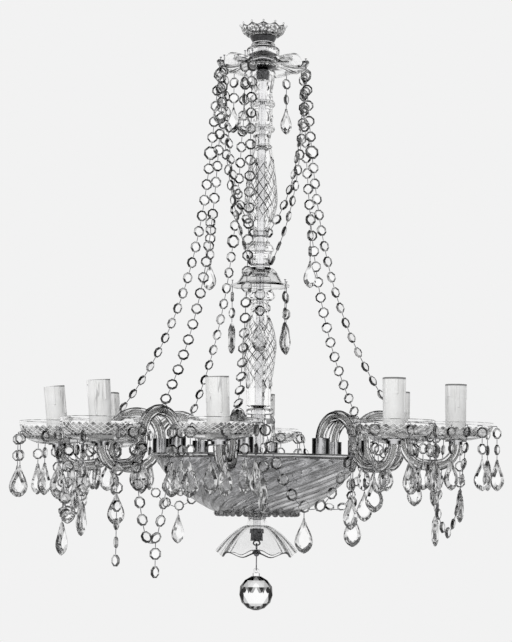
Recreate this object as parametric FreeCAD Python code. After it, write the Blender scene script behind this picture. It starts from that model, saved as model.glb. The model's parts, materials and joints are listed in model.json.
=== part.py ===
import FreeCAD, Part
import math
import os

# Glass chandelier with eight arms, hung from a loop by one central tube.
# Millimetres. The origin is the centre of the hanging loop and +Z is up.
# The front is -Y. An azimuth is 0 at the front and grows towards +X.

# Clearances
FIT = 0.3
OVERRUN = 4.0

# Central tube, M10 lamp tube that carries every threaded-on glass piece
TUBE_RADIUS = 5.0
TUBE_BORE = 3.8
TUBE_TOP_DEPTH = 9.0
TUBE_TAIL = 8.0
BORE = TUBE_RADIUS + FIT

# Hanging loop
LOOP_RING_RADIUS = 6.0
LOOP_WIRE_RADIUS = 1.5
LOOP_COLLAR_RADIUS = 7.0
LOOP_COLLAR_HEIGHT = 5.0

# Crown bowl round the loop
CROWN_FLOOR_DEPTH = 12.5
CROWN_FLOOR_WALL = 2.2
CROWN_WALL = 2.0
CROWN_RADIUS = 31.8
CROWN_HEIGHT = 15.4
CROWN_SHARES = [(0.50, 0.0), (0.64, 0.12), (0.83, 0.36), (0.95, 0.68), (1.0, 1.0)]
CROWN_NOTCHES = 6
CROWN_NOTCH_RADIUS = 4.6

# Stack on the tube, from the top down: heights and largest radii
CROWN_CUP_HEIGHT = 7.6
CROWN_CUP_RADIUS = 17.4
CROWN_CUP_SHARES = [(1.0, 0.0), (1.0, 0.18), (0.82, 1.0)]
DOME_HEIGHT = 20.7
DOME_RADIUS = 22.4
DOME_BOSS_RADIUS = 8.2
DOME_WALL = 2.2
DOME_LOBES = 8
DOME_NOTCH_RADIUS = 6.0
DOME_NOTCH_DEPTH = 1.0
DOME_SHARES = [(0.66, 0.0), (0.73, 0.13), (0.77, 0.27), (0.96, 0.40), (1.0, 0.60), (0.99, 0.87)]
DISC_HUB_HEIGHT = 9.3
DISC_HUB_TOP_RADIUS = 8.6
DISC_HUB_RADIUS = 17.6
DISC_THICKNESS = 3.2
DISC_RADIUS = 63.8
DISC_RIM_RISE = 9.0
DISC_SHARES = [(0.0, 0.0), (0.62, -0.06), (0.87, 0.16), (1.0, 1.0)]
DISC_PETALS = 8
DISC_NOTCH_RADIUS = 8.5
DISC_NOTCH_CIRCLE = 68.0
DISC_HOLE_RADIUS = 1.0
DISC_HOLE_CIRCLE = 59.0
DISC_CUP_HEIGHT = 4.1
DISC_CUP_FOOT_RADIUS = 6.5
SPOOL_CUP_WASHER = 2.1
SPOOL_CUP_HEIGHT = 13.1
SPOOL_CUP_RADIUS = 9.1
SPOOL_CUP_TIP_RADIUS = 8.1
SPOOL_SIDES = 10
SPOOL_TOP_GAP = 2.0
SPOOL_1_HEIGHT = 39.0
SPOOL_1_RADIUS = 14.2
SPOOL_1_SHARES = [(1.0, 0.0), (0.99, 0.28), (0.85, 0.60), (0.83, 0.78), (0.95, 1.0)]
RING_HEIGHT = 8.2
RING_RADIUS = 17.4
RING_NOTCHES = 8
RING_NOTCH_RADIUS = 4.4
SPOOL_2_HEIGHT = 26.1
SPOOL_2_RADIUS = 13.4
SPOOL_2_SHARES = [(0.97, 0.0), (0.90, 0.16), (1.0, 0.57), (0.91, 0.80), (0.97, 1.0)]
SPOOL_3_HEIGHT = 20.0
SPOOL_3_RADIUS = 12.6
SPOOL_3_SHARES = [(0.98, 0.0), (0.86, 0.25), (0.76, 0.65), (0.80, 0.85), (1.0, 1.0)]
VASE_HEIGHT = 115.0
VASE_RADIUS = 22.9
VASE_SIDES = 12
VASE_SHARES = [
    (0.56, 0.0), (0.68, 0.10), (0.77, 0.21), (0.84, 0.31), (0.90, 0.41), (0.96, 0.52),
    (1.0, 0.62), (0.96, 0.72), (0.82, 0.81), (0.62, 0.90), (0.43, 1.0),
]
VASE_NECK_HEIGHT = 15.5
VASE_NECK_RADIUS = 9.9
VASE_NECK_SHARES = [(1.0, 0.0), (0.91, 0.45), (0.97, 1.0)]
LEAF_COLLAR_HEIGHT = 12.0
LEAF_COLLAR_RADIUS = 18.2
LEAF_COLLAR_SHARES = [(0.56, 0.0), (0.72, 0.16), (1.0, 0.72), (0.98, 0.90), (0.72, 1.0)]
BELL_NECK_HEIGHT = 22.0
BELL_NECK_RADIUS = 13.6
BELL_NECK_SHARES = [(0.96, 0.0), (1.0, 0.10), (0.88, 0.45), (0.84, 0.80), (0.86, 1.0)]
BELL_HEIGHT = 23.3
BELL_RADIUS = 40.0
BELL_WALL = 2.6
BELL_CROWN_WALL = 5.0
BELL_SHARES = [(0.36, 0.0), (0.47, 0.10), (0.585, 0.33), (0.67, 0.60), (0.77, 0.84), (0.90, 0.96), (1.0, 1.0)]
BELL_SEAT_HEIGHT = 7.5
BELL_SEAT_RADIUS = 12.5
BELL_SEAT_SHARES = [(1.0, 0.0), (1.0, 0.25), (0.72, 1.0)]
BELL_HOLE_RADIUS = 1.0
BELL_HOLE_INSET = 2.9
KNOP_HEIGHT = 32.0
KNOP_RADIUS = 20.6
KNOP_SHARES = [(0.66, 0.0), (0.72, 0.30), (0.80, 0.56), (1.0, 0.80), (0.93, 0.90), (0.55, 1.0)]
KNOP_NOTCHES = 8
KNOP_NOTCH_RADIUS = 5.0
WAIST_HEIGHT = 12.0
WAIST_RADIUS = 11.4
WAIST_SHARES = [(1.0, 0.0), (0.84, 0.45), (0.90, 0.75), (1.0, 1.0)]
BALUSTER_HEIGHT = 133.0
BALUSTER_RADIUS = 24.1
BALUSTER_SIDES = 12
BALUSTER_SHARES = [
    (0.46, 0.0), (0.60, 0.08), (0.80, 0.17), (0.93, 0.27), (1.0, 0.37), (0.92, 0.48),
    (0.87, 0.58), (0.75, 0.70), (0.71, 0.80), (0.68, 0.90), (0.72, 1.0),
]
FOOT_HEIGHT = 52.4
FOOT_RADIUS = 21.0
FOOT_SHARES = [
    (0.84, 0.0), (0.88, 0.09), (0.97, 0.25), (1.0, 0.41), (0.95, 0.56), (0.84, 0.68),
    (0.74, 0.84), (0.72, 1.0),
]

# Arm plate, arm cups and the receiver bowl under the plate
PLATE_THICKNESS = 5.3
PLATE_RADIUS = 142.0
CUP_CIRCLE = 131.0
CUP_AZIMUTH = -7.5
CUP_HEIGHT = 20.0
CUP_RADIUS = 11.2
CUP_WALL = 1.0
CUP_FLOOR = 2.0
WIRE_HOLE_RADIUS = 4.0
BOWL_RADIUS = 137.0
BOWL_DEPTH = 73.0
BOWL_WALL = 4.0
BOWL_SHARES = [(0.37, 0.0), (0.52, 0.13), (0.72, 0.38), (0.89, 0.70), (0.97, 0.90), (1.0, 1.0)]

# Pieces under the bowl
BOWL_SEAT_HEIGHT = 5.0
BOWL_SEAT_RADIUS = 20.0
BOWL_SEAT_SHARES = [(1.0, 0.0), (1.0, 0.30), (0.55, 1.0)]
NECK_RING_HEIGHT = 12.5
NECK_RING_RADIUS = 17.4
NECK_RING_SHARES = [(0.86, 0.0), (1.0, 0.45), (1.0, 0.75), (0.90, 1.0)]
LOW_DISH_HEIGHT = 35.1
LOW_DISH_RADIUS = 54.3
LOW_DISH_WALL = 2.6
LOW_DISH_SHARES = [
    (0.33, 0.0), (0.46, 0.10), (0.525, 0.30), (0.50, 0.56), (0.56, 0.72), (0.78, 0.86), (1.0, 1.0),
]
LOW_DISH_PETALS = 8
LOW_DISH_NOTCH_RADIUS = 8.0
LOW_DISH_NOTCH_CIRCLE = 58.0
NUT_HEIGHT = 6.0
NUT_RADIUS = 8.7

# Hook, link and ball
HOOK_CAP_RADIUS = 6.8
HOOK_CAP_HEIGHT = 10.0
EYE_RADIUS = 3.0
EYE_WIRE_RADIUS = 0.8
EYE_GAP = FIT
LINK_LENGTH = 31.8
LINK_BEAD_RADIUS = 4.0
LINK_BEAD_SHARE = 0.32
BALL_CAP_RADIUS = 4.6
BALL_CAP_HEIGHT = 4.0
BALL_RADIUS = 22.8
BALL_SIDES = 12
BALL_RING_DEGREES = [74.0, 48.0, 22.0, -6.0, -34.0, -60.0, -80.0]

# Arms. The centre line starts on the cup floor and runs outwards.
ARM_RIDGE_RADIUS = 7.3
ARM_GROOVE_RADIUS = 6.5
ARM_RIDGES = 10
ARM_BORE_RADIUS = 3.0
ARM_RISE = 12.7
ARM_ARCH_RADIUS = 32.0
ARM_DIP_RADIUS = 31.8
ARM_DIP_RUN = 13.2
ARM_LIFT_RADIUS = 27.0
ARM_END_RISE = 4.4
ARM_WIRE_RADIUS = 2.0
ARM_WIRE_TAIL = 7.0
ARM_COUNT = 8
# Each arm is set by hand in its cup: where it points, how far it droops
# outwards, how far it leans to one side and how high it stands
ARM_HEADINGS = [-12.5, 38.6, 100.0, 133.3, -177.0, -112.6, -78.2, -40.4]
ARM_DROOPS = [1.8, 0.0, 0.0, 0.0, 0.0, 6.2, 6.2, 6.2]
ARM_LEANS = [1.8, 0.0, 0.0, 0.0, 0.0, 0.8, 0.0, 0.0]
ARM_LIFTS = [0.0, 0.6, 6.0, 3.8, 3.0, 10.0, 9.6, 9.0]

# Drip dish, its seat, the candle and the lampholder, on the end of each arm
SEAT_RADIUS = 14.0
SEAT_THICKNESS = 1.8
SEAT_SKIRT_RADIUS = 9.2
SEAT_SKIRT_LENGTH = 4.0
SEAT_NIPPLE_RADIUS = 5.0
SEAT_NIPPLE_BORE = 3.4
SEAT_NIPPLE_RISE = 9.0
DISH_RADIUS = 50.0
DISH_DEPTH = 23.5
DISH_WALL = 3.0
DISH_SHARES = [(0.44, 0.0), (0.68, 0.07), (0.88, 0.33), (0.975, 0.68), (1.0, 1.0)]
DISH_HOLES = 8
DISH_HOLE_STEP = 360 / DISH_HOLES
# Rim holes that carry the swags between neighbouring dishes
SWAG_HOLE_NEXT = 4 * DISH_HOLE_STEP
SWAG_HOLE_PREVIOUS = 8 * DISH_HOLE_STEP
DISH_HOLE_AZIMUTHS = [DISH_HOLE_STEP * (i + 0.5) for i in range(DISH_HOLES)]
DISH_HOLE_AZIMUTHS += [SWAG_HOLE_NEXT, SWAG_HOLE_PREVIOUS]
DISH_HOLE_RADIUS = 1.2
DISH_HOLE_INSET = 4.5
SLEEVE_RADIUS = 13.8
SLEEVE_WALL = 1.5
SLEEVE_HEIGHT = 72.0
DRIP_RADIUS = 1.9
DRIP_STAND = 1.0
DRIP_SHARES = [(0.0, 0.42), (62.0, 0.27), (118.0, 0.58), (171.0, 0.33), (236.0, 0.50), (301.0, 0.22)]
HOLDER_RADIUS = 11.6
HOLDER_FOOT_RADIUS = 9.0
HOLDER_FOOT_HEIGHT = 3.0
HOLDER_LEG_RADIUS = 7.0
HOLDER_LEG_HEIGHT = 22.0
HOLDER_HEIGHT = 67.0
SOCKET_RADIUS = 7.0
SOCKET_DEPTH = 25.0

# Cut crystals and the pins that link them
BEAD_WIDTH = 14.0
BEAD_THICKNESS = 6.0
BIG_BEAD_WIDTH = 18.0
BIG_BEAD_THICKNESS = 7.5
BEAD_SIDES = 8
BEAD_PITCH = 21.6
DROP_LENGTH = 42.0
DROP_WIDTH = 22.0
DROP_THICKNESS = 10.0
DROP_SHARES = [(0.46, 0.74), (0.70, 1.0), (0.93, 0.56)]
SMALL_DROP_SHARE = 0.86
DROP_STEM = 5.0
PIN_RADIUS = 0.5
PIN_HEAD_RADIUS = 1.5
PIN_HEAD_HEIGHT = 0.8
PIN_SHANK = 4.6
HOOK_REACH = 5.2
HOOK_DROP = 2.2
HOOK_BEND = 1.2
HOOK_TAIL = 1.6
TIE_RADIUS = 8.4
TIE_WIRE_RADIUS = 0.5
NECK_TIE_RADIUS = 12.6
NECK_TIE_RISE = 3.6
VASE_TIE_RADIUS = 10.6
VASE_TIE_FALL = 7.0
BELL_PIN_SHANK = 9.0
BELL_PIN_RISE = 5.6
DISC_PIN_SHARE = 0.62

# Strands of linked octagons
LINE_STEPS = 60
LINE_OUT_SHARE = 0.3
PITCH_SLACK = 0.999999
# Long strands: the arm each ends on, the hole on the disc where it starts,
# the place on the arm's arch where it is tied (degrees outwards from the
# top), how late it flares, the way its octagons face at both ends and which
# of them are the large ones
STRANDS = [
    (0, -14.0, 0.0, 5.0, 20.0, -30.0, ()),
    (2, 78.0, 26.0, 3.5, 5.0, 60.0, (5,)),
    (3, 112.0, 18.0, 3.6, -40.0, 20.0, ()),
    (4, 176.0, 0.0, 4.2, 30.0, -20.0, ()),
    (5, -156.0, -35.0, 3.5, 10.0, 50.0, (8, 10)),
    (6, -88.0, 28.0, 3.6, -15.0, 70.0, (5,)),
    (7, -62.0, -15.0, 3.6, 30.0, -10.0, ()),
]
# Pendants that hang straight from the disc: azimuth, octagons and facing
DISC_PENDANTS = [
    (-75.0, 2, 0.0),
    (-24.0, 3, 15.0),
    (146.0, 2, 40.0),
    (-138.0, 2, -30.0),
]
# Pendants that hang from a long strand: the strand, the octagon on it, where
# the wire reaches, octagons and facing; and how far the wire reaches out
SIDE_PENDANTS = [
    (5, 9, 150.0, 3, -20.0),
    (1, 9, -35.0, 3, 25.0),
]
SIDE_REACH = 9.0
# Short strands from the disc to a tie ring: the disc hole where each starts,
# the azimuth where it ends, which ring, how late it bends and its facings
SHORT_STRANDS = [
    (92.0, 100.0, 0, 3.6, -20.0, 100.0),
    (-104.0, -96.0, 0, 2.6, 10.0, -96.0),
    (-169.0, 178.0, 0, 3.0, 0.0, 178.0),
    (101.0, 150.0, 1, 4.2, 60.0, 150.0),
    (-120.0, -150.0, 1, 4.2, 60.0, 30.0),
]
# Swags between an arm's dish and the next arm's dish: sag, facings, octagons
# that hang from the lowest point and whether they end in a drop
DISH_SWAGS = [
    (100.0, 10.0, 60.0, 0, True),
    (134.0, 30.0, 120.0, 0, False),
    (105.0, 80.0, 20.0, 0, True),
    (110.0, 10.0, 70.0, 0, False),
    (104.0, 40.0, -20.0, 0, True),
    (112.0, -30.0, 20.0, 0, False),
    (112.0, 60.0, 10.0, 0, True),
    (140.0, 20.0, 55.0, 2, False),
]
# Pendants round each dish: where the first one faces, and the octagons that
# hang from each rim hole in turn
DISH_PENDANTS = [
    (-20.0, (2, 2, 2, 2, 3, 2, 2, 2)),
    (10.0, (3, 2, 2, 2, 2, 2, 5, 4)),
    (0.0, (2, 2, 2, 4, 2, 3, 2, 2)),
    (30.0, (2, 3, 2, 2, 2, 4, 2, 2)),
    (0.0, (2, 2, 3, 2, 2, 2, 2, 2)),
    (70.0, (2, 2, 2, 3, 2, 2, 2, 2)),
    (-40.0, (2, 2, 2, 2, 3, 2, 2, 4)),
    (15.0, (2, 2, 4, 8, 2, 2, 4, 2)),
]
# The one string that has no drop, by arm and rim hole
BARE_STRING = (7, 3)
PENDANT_TWIST = 30.0
DISC_HOLE_AZIMUTHS = [row[1] for row in STRANDS] + [row[0] for row in DISC_PENDANTS + SHORT_STRANDS]
BELL_PENDANT_AZIMUTHS = [0.0, 64.0, 106.0, -88.0]

PARTS_FOLDER = "parts"


def vec(x, y, z):
    return FreeCAD.Vector(x, y, z)


def polar(radius, azimuth, z):
    angle = math.radians(azimuth)
    return vec(radius * math.sin(angle), -radius * math.cos(angle), z)


def upright(azimuth):
    """Rotation that turns local X to point at an azimuth."""
    return FreeCAD.Rotation(vec(0, 0, 1), azimuth - 90)


def placed(shape, placement):
    copy = shape.copy()
    copy.Placement = placement.multiply(copy.Placement)
    return copy


def cylinder(radius, low, high, centre=None):
    base = vec(0, 0, low) if centre is None else vec(centre.x, centre.y, low)
    return Part.makeCylinder(radius, high - low, base)


def scaled(shares, radius, height, top):
    """Points (radius, z) of a profile whose shares run from the top down."""
    return [(radius * r, top - height * h) for r, h in shares]


def revolved(edges):
    face = Part.Face(Part.Wire(edges))
    return face.revolve(vec(0, 0, 0), vec(0, 0, 1), 360)


def path_edges(points):
    """Straight edges through (radius, z) points in the XZ plane."""
    corners = [vec(r, 0, z) for r, z in points]
    return [Part.makeLine(a, b) for a, b in zip(corners, corners[1:])]


def curve_edge(points):
    curve = Part.BSplineCurve()
    curve.interpolate([vec(r, 0, z) for r, z in points])
    return curve.toShape()


def turned(points, bore):
    """A turned piece whose side is one smooth curve, with a bore along the tube."""
    top = points[0]
    low = points[-1]
    edges = [curve_edge(points)]
    edges += path_edges([low, (bore, low[1]), (bore, top[1]), top])
    return revolved(edges)


def inner_curve(points, wall):
    """The same curve moved inwards, square to itself, by the wall."""
    moved = []
    for i in range(len(points)):
        before = points[max(i - 1, 0)]
        after = points[min(i + 1, len(points) - 1)]
        run = after[0] - before[0]
        rise = after[1] - before[1]
        size = math.hypot(run, rise)
        moved.append((points[i][0] + wall * rise / size, points[i][1] - wall * run / size))
    return moved


def ring_points(radius, z, sides, turn_share):
    step = 2 * math.pi / sides
    return [
        vec(radius * math.cos(step * (i + turn_share)), radius * math.sin(step * (i + turn_share)), z)
        for i in range(sides)
    ]


def facet(points):
    return Part.Face(Part.makePolygon(points + [points[0]]))


def closed_solid(faces):
    solid = Part.Solid(Part.Shell(faces))
    if solid.Volume < 0:
        solid.reverse()
    return solid


def panel_cut(points, sides, turn_share=0.0):
    """A solid with flat upright panels, from rings that are all turned alike."""
    rings = [ring_points(r, z, sides, turn_share) for r, z in points]
    faces = [facet(rings[0]), facet(rings[-1])]
    for upper, lower in zip(rings, rings[1:]):
        for i in range(sides):
            j = (i + 1) % sides
            faces.append(facet([upper[i], upper[j], lower[j], lower[i]]))
    return closed_solid(faces)


def diamond_cut(points, sides):
    """A solid whose rings are turned by half a step in turn, so that it shows diamonds."""
    rings = [ring_points(p[0], p[1], sides, 0.5 * (k % 2)) for k, p in enumerate(points)]
    faces = [facet(rings[0]), facet(rings[-1])]
    for k, (upper, lower) in enumerate(zip(rings, rings[1:])):
        for i in range(sides):
            j = (i + 1) % sides
            upper_first = k % 2 == 0
            a = lower[i] if upper_first else lower[j]
            b = upper[j] if upper_first else upper[i]
            faces.append(facet([upper[i], upper[j], a]))
            faces.append(facet([lower[i], lower[j], b]))
    return closed_solid(faces)


def bored(solid, radius):
    box = solid.BoundBox
    return solid.cut(cylinder(radius, box.ZMin - OVERRUN, box.ZMax + OVERRUN))


def notched(solid, count, notch_radius, circle, turn_share=0.5):
    """Cut upright notches round the rim, which leaves petals between them."""
    box = solid.BoundBox
    tools = []
    for i in range(count):
        centre = polar(circle, 360 / count * (i + turn_share), 0)
        tools.append(cylinder(notch_radius, box.ZMin - OVERRUN, box.ZMax + OVERRUN, centre))
    return solid.cut(tools)


# Levels of the stack, from the top down
CROWN_BOTTOM = -CROWN_FLOOR_DEPTH
DOME_TOP = CROWN_BOTTOM - CROWN_CUP_HEIGHT
HUB_TOP = DOME_TOP - DOME_HEIGHT
DISC_TOP = HUB_TOP - DISC_HUB_HEIGHT
DISC_BOTTOM = DISC_TOP - DISC_THICKNESS
SPOOL_CUP_TOP = DISC_BOTTOM - DISC_CUP_HEIGHT
SPOOL_CUP_BODY = SPOOL_CUP_TOP - SPOOL_CUP_WASHER
SPOOL_CUP_BOTTOM = SPOOL_CUP_BODY - SPOOL_CUP_HEIGHT
SPOOL_1_TOP = SPOOL_CUP_BODY - SPOOL_TOP_GAP
RING_1_TOP = SPOOL_1_TOP - SPOOL_1_HEIGHT
SPOOL_2_TOP = RING_1_TOP - RING_HEIGHT
RING_2_TOP = SPOOL_2_TOP - SPOOL_2_HEIGHT
SPOOL_3_TOP = RING_2_TOP - RING_HEIGHT
VASE_TOP = SPOOL_3_TOP - SPOOL_3_HEIGHT
VASE_NECK_TOP = VASE_TOP - VASE_HEIGHT
LEAF_COLLAR_TOP = VASE_NECK_TOP - VASE_NECK_HEIGHT
BELL_NECK_TOP = LEAF_COLLAR_TOP - LEAF_COLLAR_HEIGHT
BELL_TOP = BELL_NECK_TOP - BELL_NECK_HEIGHT
BELL_RIM = BELL_TOP - BELL_HEIGHT
BELL_SEAT_TOP = BELL_TOP - BELL_CROWN_WALL
KNOP_TOP = BELL_SEAT_TOP - BELL_SEAT_HEIGHT
WAIST_TOP = KNOP_TOP - KNOP_HEIGHT
BALUSTER_TOP = WAIST_TOP - WAIST_HEIGHT
RING_3_TOP = BALUSTER_TOP - BALUSTER_HEIGHT
FOOT_TOP = RING_3_TOP - RING_HEIGHT
PLATE_TOP = FOOT_TOP - FOOT_HEIGHT
BOWL_TOP = PLATE_TOP - PLATE_THICKNESS
BOWL_BOTTOM = BOWL_TOP - BOWL_DEPTH
NECK_RING_TOP = BOWL_BOTTOM - BOWL_SEAT_HEIGHT
LOW_DISH_TOP = NECK_RING_TOP - NECK_RING_HEIGHT
NUT_TOP = LOW_DISH_TOP - LOW_DISH_WALL
TUBE_BOTTOM = NUT_TOP - NUT_HEIGHT - TUBE_TAIL


def hanging_loop():
    ring = Part.makeTorus(LOOP_RING_RADIUS, LOOP_WIRE_RADIUS, vec(0, 0, 0), vec(0, 1, 0))
    low = CROWN_BOTTOM + CROWN_FLOOR_WALL
    collar = cylinder(LOOP_COLLAR_RADIUS, low, low + LOOP_COLLAR_HEIGHT)
    socket = cylinder(BORE, low - OVERRUN, FIT - TUBE_TOP_DEPTH)
    return ring.fuse(collar).cut(socket)


def crown_bowl():
    height_points = [
        (CROWN_RADIUS * r, CROWN_BOTTOM + CROWN_HEIGHT * h) for r, h in CROWN_SHARES
    ]
    inside = inner_curve(height_points, -CROWN_WALL)
    floor = CROWN_BOTTOM + CROWN_FLOOR_WALL
    inside[0] = (height_points[0][0], floor)
    edges = [curve_edge(height_points)]
    edges += path_edges([height_points[-1], inside[-1]])
    edges.append(curve_edge(inside[::-1]))
    edges += path_edges([inside[0], (BORE, floor), (BORE, CROWN_BOTTOM), height_points[0]])
    bowl = revolved(edges)
    tools = []
    for i in range(CROWN_NOTCHES):
        across = polar(CROWN_RADIUS + OVERRUN, 180 / CROWN_NOTCHES * i, CROWN_BOTTOM + CROWN_HEIGHT)
        back = polar(-CROWN_RADIUS - OVERRUN, 180 / CROWN_NOTCHES * i, CROWN_BOTTOM + CROWN_HEIGHT)
        tools.append(Part.makeCylinder(CROWN_NOTCH_RADIUS, (across - back).Length, back, across - back))
    return bowl.cut(tools)


def cup_piece(shares, radius, height, top):
    """A turned metal cup with straight sides."""
    points = scaled(shares, radius, height, top)
    low = points[-1]
    edges = path_edges(points + [(BORE, low[1]), (BORE, top), points[0]])
    return revolved(edges)


def upper_dome():
    outside = scaled(DOME_SHARES, DOME_RADIUS, DOME_HEIGHT, DOME_TOP)
    inside = inner_curve(outside, DOME_WALL)[1:]
    ceiling = DOME_TOP - DOME_WALL
    foot = HUB_TOP
    edges = [curve_edge(outside)]
    edges += path_edges([outside[-1], inside[-1]])
    edges.append(curve_edge(inside[::-1]))
    edges += path_edges([
        inside[0], (DOME_BOSS_RADIUS, ceiling - DOME_WALL), (DOME_BOSS_RADIUS, foot),
        (BORE, foot), (BORE, DOME_TOP), outside[0],
    ])
    circle = DOME_RADIUS + DOME_NOTCH_RADIUS - DOME_NOTCH_DEPTH
    return notched(revolved(edges), DOME_LOBES, DOME_NOTCH_RADIUS, circle)


def top_disc():
    reach = DISC_RADIUS - DISC_HUB_RADIUS
    under = [
        (DISC_HUB_RADIUS + reach * r, DISC_BOTTOM + DISC_RIM_RISE * h) for r, h in DISC_SHARES
    ]
    over = inner_curve(under, -DISC_THICKNESS)
    over[0] = (DISC_HUB_RADIUS, DISC_TOP)
    edges = [curve_edge(under)]
    edges += path_edges([under[-1], over[-1]])
    edges.append(curve_edge(over[::-1]))
    edges += path_edges([
        over[0], (DISC_HUB_TOP_RADIUS, HUB_TOP), (BORE, HUB_TOP), (BORE, DISC_BOTTOM), under[0],
    ])
    disc = revolved(edges)
    disc = notched(disc, DISC_PETALS, DISC_NOTCH_RADIUS, DISC_NOTCH_CIRCLE)
    holes = []
    for azimuth in sorted(set(DISC_HOLE_AZIMUTHS)):
        centre = polar(DISC_HOLE_CIRCLE, azimuth, 0)
        holes.append(cylinder(DISC_HOLE_RADIUS, DISC_BOTTOM - OVERRUN, DISC_TOP + DISC_RIM_RISE, centre))
    return disc.cut(holes)


def spool_cup():
    return revolved(path_edges([
        (BORE, SPOOL_CUP_TOP), (DISC_CUP_FOOT_RADIUS, SPOOL_CUP_TOP),
        (DISC_CUP_FOOT_RADIUS, SPOOL_CUP_BODY), (SPOOL_CUP_RADIUS, SPOOL_CUP_BODY),
        (SPOOL_CUP_TIP_RADIUS, SPOOL_CUP_BOTTOM), (BORE, SPOOL_CUP_BOTTOM), (BORE, SPOOL_CUP_TOP),
    ]))


def spool(shares, radius, height, top):
    return bored(panel_cut(scaled(shares, radius, height, top), SPOOL_SIDES), BORE)


def upper_spool():
    body = spool(SPOOL_1_SHARES, SPOOL_1_RADIUS, SPOOL_1_HEIGHT, SPOOL_1_TOP)
    socket = cylinder(SPOOL_CUP_RADIUS + FIT, SPOOL_CUP_BOTTOM, SPOOL_1_TOP + OVERRUN)
    return body.cut(socket)


def spacer_ring(top):
    """A moulded ring with a rounded, scalloped edge."""
    low = top - RING_HEIGHT
    edge = RING_RADIUS - RING_HEIGHT / 2
    start = vec(edge, 0, top)
    middle = vec(RING_RADIUS, 0, (top + low) / 2)
    end = vec(edge, 0, low)
    edges = [Part.Arc(start, middle, end).toShape()]
    edges += path_edges([(edge, low), (BORE, low), (BORE, top), (edge, top)])
    return notched(revolved(edges), RING_NOTCHES, RING_NOTCH_RADIUS, RING_RADIUS + RING_NOTCH_RADIUS / 2)


def leaf_collar():
    body = turned(scaled(LEAF_COLLAR_SHARES, LEAF_COLLAR_RADIUS, LEAF_COLLAR_HEIGHT, LEAF_COLLAR_TOP), BORE)
    return notched(body, RING_NOTCHES, RING_NOTCH_RADIUS, LEAF_COLLAR_RADIUS + RING_NOTCH_RADIUS / 2)


def glass_bell():
    outside = scaled(BELL_SHARES, BELL_RADIUS, BELL_HEIGHT, BELL_TOP)
    inside = inner_curve(outside, BELL_WALL)[2:]
    ceiling = BELL_SEAT_TOP
    edges = [curve_edge(outside)]
    edges += path_edges([outside[-1], inside[-1]])
    edges.append(curve_edge(inside[::-1]))
    edges += path_edges([inside[0], (BELL_SEAT_RADIUS, ceiling), (BORE, ceiling), (BORE, BELL_TOP), outside[0]])
    bell = revolved(edges)
    holes = []
    for azimuth in BELL_PENDANT_AZIMUTHS:
        centre = polar(BELL_RADIUS - BELL_HOLE_INSET, azimuth, 0)
        holes.append(cylinder(BELL_HOLE_RADIUS, BELL_RIM - OVERRUN, BELL_TOP, centre))
    return bell.cut(holes)


def knop():
    body = turned(scaled(KNOP_SHARES, KNOP_RADIUS, KNOP_HEIGHT, KNOP_TOP), BORE)
    return notched(body, KNOP_NOTCHES, KNOP_NOTCH_RADIUS, KNOP_RADIUS + KNOP_NOTCH_RADIUS / 2)


def central_tube():
    tube = cylinder(TUBE_RADIUS, TUBE_BOTTOM, -TUBE_TOP_DEPTH)
    return tube.cut(cylinder(TUBE_BORE, TUBE_BOTTOM - OVERRUN, OVERRUN - TUBE_TOP_DEPTH))


def cup_azimuth(index):
    return CUP_AZIMUTH + 360 / ARM_COUNT * index


def arm_plate():
    plate = cylinder(PLATE_RADIUS, BOWL_TOP, PLATE_TOP)
    holes = [cylinder(BORE, BOWL_TOP - OVERRUN, PLATE_TOP + OVERRUN)]
    for i in range(ARM_COUNT):
        centre = polar(CUP_CIRCLE, cup_azimuth(i), 0)
        holes.append(cylinder(WIRE_HOLE_RADIUS, BOWL_TOP - OVERRUN, PLATE_TOP + OVERRUN, centre))
    return plate.cut(holes)


def arm_cup(index):
    centre = polar(CUP_CIRCLE, cup_azimuth(index), 0)
    body = cylinder(CUP_RADIUS, PLATE_TOP, PLATE_TOP + CUP_HEIGHT, centre)
    room = cylinder(CUP_RADIUS - CUP_WALL, PLATE_TOP + CUP_FLOOR, PLATE_TOP + CUP_HEIGHT + OVERRUN, centre)
    hole = cylinder(WIRE_HOLE_RADIUS, PLATE_TOP - OVERRUN, PLATE_TOP + CUP_FLOOR + OVERRUN, centre)
    return body.cut([room, hole])


def receiver_bowl():
    outside = [(BOWL_RADIUS * r, BOWL_BOTTOM + BOWL_DEPTH * h) for r, h in BOWL_SHARES]
    inside = inner_curve(outside, -BOWL_WALL)
    floor = BOWL_BOTTOM + BOWL_WALL
    inside[0] = (outside[0][0], floor)
    inside[-1] = (outside[-1][0] - BOWL_WALL, BOWL_TOP)
    edges = [curve_edge(outside)]
    edges += path_edges([outside[-1], inside[-1]])
    edges.append(curve_edge(inside[::-1]))
    edges += path_edges([inside[0], (BORE, floor), (BORE, BOWL_BOTTOM), outside[0]])
    return revolved(edges)


def bottom_dish():
    outside = scaled(LOW_DISH_SHARES, LOW_DISH_RADIUS, LOW_DISH_HEIGHT, LOW_DISH_TOP)
    inside = inner_curve(outside, LOW_DISH_WALL)
    inside[0] = (outside[0][0] - LOW_DISH_WALL, NUT_TOP)
    edges = [curve_edge(outside)]
    edges += path_edges([outside[-1], inside[-1]])
    edges.append(curve_edge(inside[::-1]))
    edges += path_edges([inside[0], (BORE, NUT_TOP), (BORE, LOW_DISH_TOP), outside[0]])
    return notched(revolved(edges), LOW_DISH_PETALS, LOW_DISH_NOTCH_RADIUS, LOW_DISH_NOTCH_CIRCLE)


def tube_nut():
    points = [(NUT_RADIUS, NUT_TOP), (NUT_RADIUS, NUT_TOP - NUT_HEIGHT)]
    return bored(panel_cut(points, 6), BORE)


def eye_ring(centre, across):
    return Part.makeTorus(EYE_RADIUS, EYE_WIRE_RADIUS, centre, across)


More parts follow.
